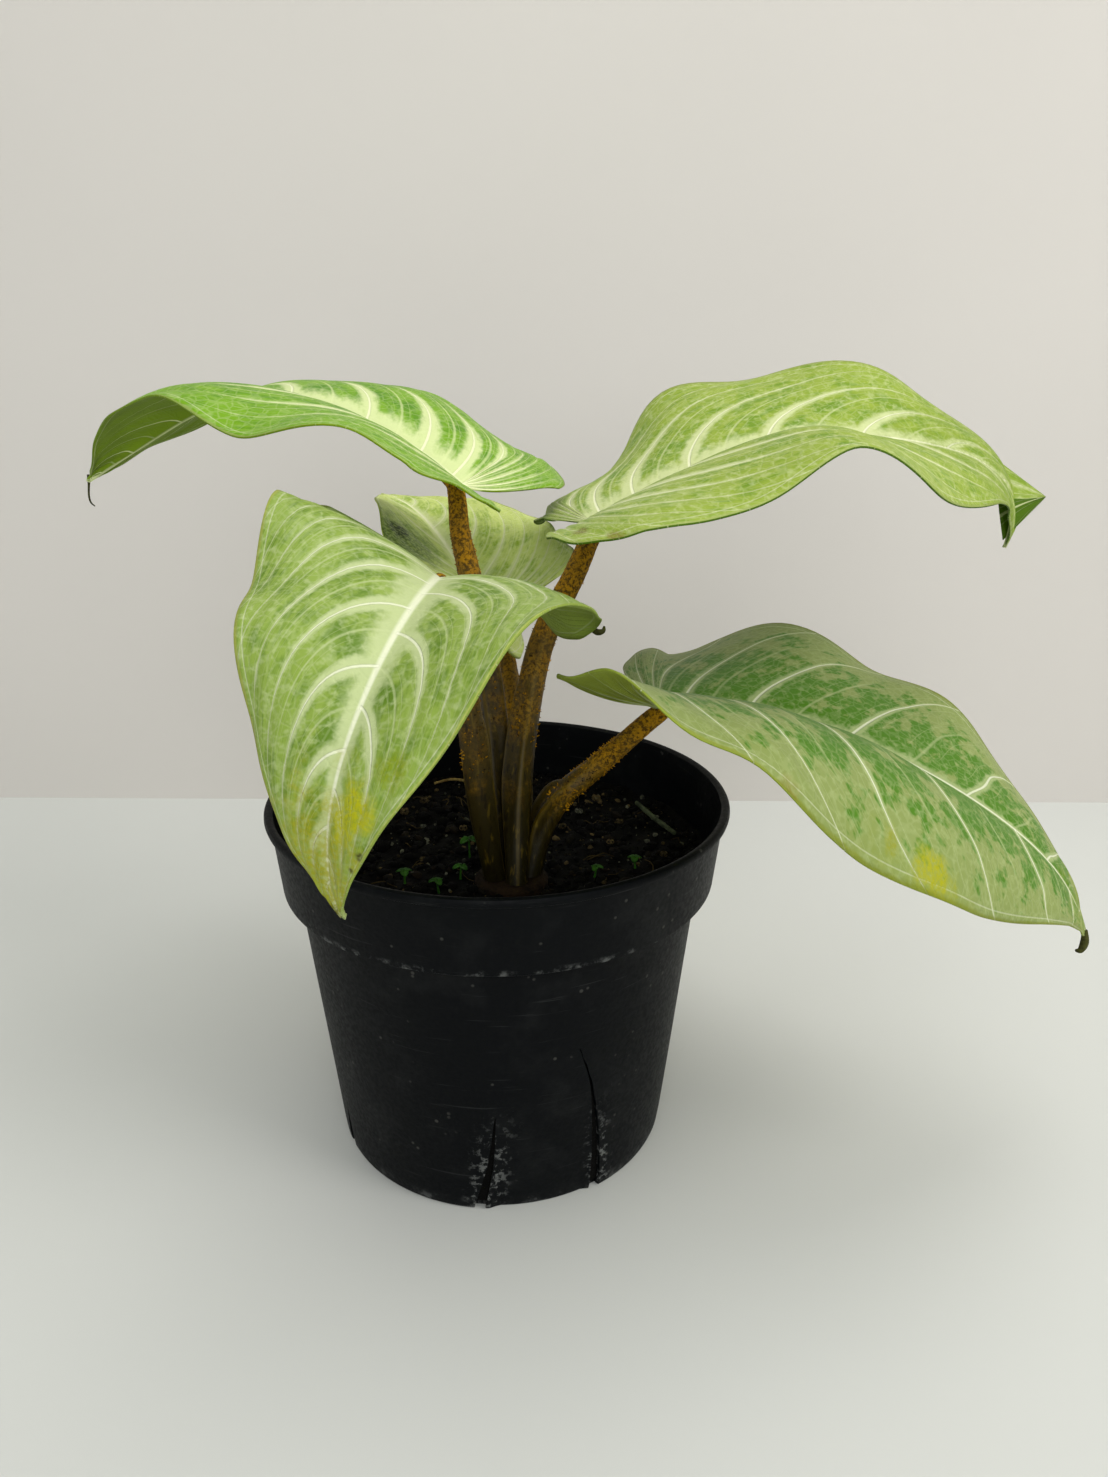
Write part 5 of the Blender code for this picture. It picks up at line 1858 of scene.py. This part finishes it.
@dataclass
class Studio:
    """Pale floor and wall, soft lights and the camera."""

    eye: Place = (18.0, -336.7, 258.9)
    down: float = 19.63
    roll: float = 0.257
    lens: float = 27.03
    wall_distance: float = 279.0
    half_size: float = 4.0
    sky_strength: float = 0.62
    # name, place and aim in metres, side of the square in metres, watts and colour
    lamps: tuple = (("ceiling", (0.1, 0.05, 1.5), (0.0, 0.0, 0.1), 0.9, 7.0, (1.0, 0.99, 0.97)),
                    ("side", (1.0, -0.5, 1.1), (0.0, 0.0, 0.1), 0.7, 8.0, (1.0, 0.96, 0.93)),
                    ("front", (0.1, -1.5, 0.75), (0.0, 0.0, 0.15), 1.0, 9.0, (0.98, 1.0, 1.0)))

    def camera(self) -> None:
        """Place the camera, which looks along +Y and down."""
        made = bpy.data.cameras.new("camera")
        made.lens = self.lens
        made.sensor_width = 36.0
        made.clip_start = 0.01
        view = bpy.data.objects.new("camera", made)
        turn = Matrix.Rotation(math.radians(90.0 - self.down), 4, "X") @ Matrix.Rotation(
            math.radians(self.roll), 4, "Z")
        view.matrix_world = Matrix.Translation(Vector(self.eye) * MM) @ turn
        bpy.context.scene.collection.objects.link(view)
        bpy.context.scene.camera = view

    def plain(self, name: str, colour: str, one_sided: bool) -> bpy.types.Material:
        """A matte paint; a one-sided one can't be seen from behind.

        Args:
            name: the material's name.
            colour: its colour.
            one_sided: whether it can't be seen from behind.

        Returns:
            The material.
        """
        made, graph, shader = surface(name)
        cloud = graph.grain(graph.here(), 3.0, 2.0)
        tones = paint(colour)
        graph.feed(shader.inputs["Base Color"], graph.blend(
            graph.span(cloud, 0.3, 0.7), tones, tuple(part * 0.96 for part in tones)))
        shader.inputs["Roughness"].default_value = 0.85
        if one_sided:
            clear = graph.add("ShaderNodeBsdfTransparent")
            mixed = graph.add("ShaderNodeMixShader")
            graph.feed(mixed.inputs[0], graph.add("ShaderNodeNewGeometry").outputs["Backfacing"])
            graph.feed(mixed.inputs[1], shader.outputs[0])
            graph.feed(mixed.inputs[2], clear.outputs[0])
            graph.feed(made.node_tree.nodes["Material Output"].inputs["Surface"], mixed.outputs[0])
        return made

    def sheet(self, name: str, matrix: Matrix, material: bpy.types.Material) -> None:
        """A flat square of the room.

        Args:
            name: the object's name.
            matrix: where it lies.
            material: its paint.
        """
        bm = bmesh.new()
        bmesh.ops.create_grid(bm, x_segments=1, y_segments=1, size=self.half_size, matrix=matrix)
        mesh = bpy.data.meshes.new(name)
        bm.to_mesh(mesh)
        bm.free()
        mesh.materials.append(material)
        made = bpy.data.objects.new(name, mesh)
        bpy.context.scene.collection.objects.link(made)

    def light(self, name: str, place: Place, aim: Place, size: float, power: float, colour: Colour) -> None:
        """A square soft light.

        Args:
            name: the lamp's name.
            place: where it hangs, in metres.
            aim: what it points at, in metres.
            size: side of the square in metres.
            power: watts.
            colour: its colour.
        """
        made = bpy.data.lights.new(name, "AREA")
        made.shape = "SQUARE"
        made.size = size
        made.energy = power
        made.color = colour
        lamp = bpy.data.objects.new(name, made)
        lamp.location = place
        lamp.rotation_euler = (Vector(aim) - Vector(place)).to_track_quat("-Z", "Y").to_euler()
        bpy.context.scene.collection.objects.link(lamp)

    def build(self) -> None:
        """Set up the room, the lights, the air and the view."""
        self.camera()
        self.sheet("floor", Matrix.Identity(4), self.plain("Floor paint", "CFD1CC", False))
        upright = Matrix.Translation((0.0, self.wall_distance * MM, self.half_size)) @ Matrix.Rotation(
            math.radians(90.0), 4, "X")
        self.sheet("wall", upright, self.plain("Wall paint", "CFCBC5", True))
        for name, place, aim, size, power, colour in self.lamps:
            self.light(name, place, aim, size, power, colour)
        world = bpy.data.worlds.new("air")
        world.use_nodes = True
        sky = world.node_tree.nodes["Background"]
        sky.inputs["Color"].default_value = (0.98, 1.0, 1.0, 1.0)
        sky.inputs["Strength"].default_value = self.sky_strength
        bpy.context.scene.world = world
        bpy.context.scene.view_settings.view_transform = "Standard"


def dress_cad_nodes(stone: bpy.types.Material, pumice: bpy.types.Material, bark: bpy.types.Material) -> None:
    """Give the CAD pieces that stay their own materials.

    Args:
        stone: for most of the grit.
        pumice: for every third grit stone.
        bark: for the crown.
    """
    for name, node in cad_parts.items():
        if name.startswith("grit_stone") and not node.hide_render:
            material = pumice if int(name[-2:]) % 3 == 0 else stone
            for slot in node.material_slots:
                slot.material = material
            rounding = node.modifiers.new("Weathered", "SUBSURF")
            rounding.levels = 2
            rounding.render_levels = 2
        elif name == "crown":
            for slot in node.material_slots:
                slot.material = bark


def main() -> None:
    """Build every piece in order."""
    logging.basicConfig(level=logging.INFO, format="%(message)s")
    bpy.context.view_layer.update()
    Studio().build()
    stuff = {tone: GroundStuff(tone).build() for tone in Tone}
    pot = NurseryPot()
    pot.build(PotPlastic().build())
    soil = SoilBed(pot)
    soil.build(stuff[Tone.MIX])
    for name, tone, count, size, flatness, seed in LOOSE_BITS:
        soil.scatter(name, stuff[tone], count, size, flatness, seed)
    soil.fibres("root_fibres", stuff[Tone.FIBRE], FIBRE_COUNT, 15)
    dress_cad_nodes(stuff[Tone.SAND], stuff[Tone.PUMICE], stuff[Tone.CROWN])
    stalk_skin = StalkSkin().build()
    for blade in BLADES:
        blade.build()
        path, radii, sheath_height, sheath_end = STALKS[blade.name]
        stalk = LeafStalk(blade.name, path, radii, sheath_height, sheath_end, blade)
        stalk.build(stalk_skin)
        stalk.bristles(stuff[Tone.SCURF], BRISTLE_COUNT)
    for end in DRIED_ENDS:
        end.build(stuff[Tone.DRIED])
    RIGHT_TIP.build(BLADES[1])
    for index, ((x, y), height, radius) in enumerate(SPRIGS, start=1):
        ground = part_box(f"clover_sprig_{index}")[0][2] / MM
        CloverSprig(index, x, y, height, radius, ground).build(stuff[Tone.SPRIG])
    Litter("straw_stem", "dry_straw", ((-27, 52), (-21, 56), (-14, 54), (-8, 50)), 0.6, "straw", 3).build(
        stuff[Tone.STRAW])
    Litter("mossy_stick", "green_stick", ((48, 33), (53, 20), (59, 7)), 1.0, "stick", 4).build(
        stuff[Tone.STICK])


if __name__ == "__main__":
    main()
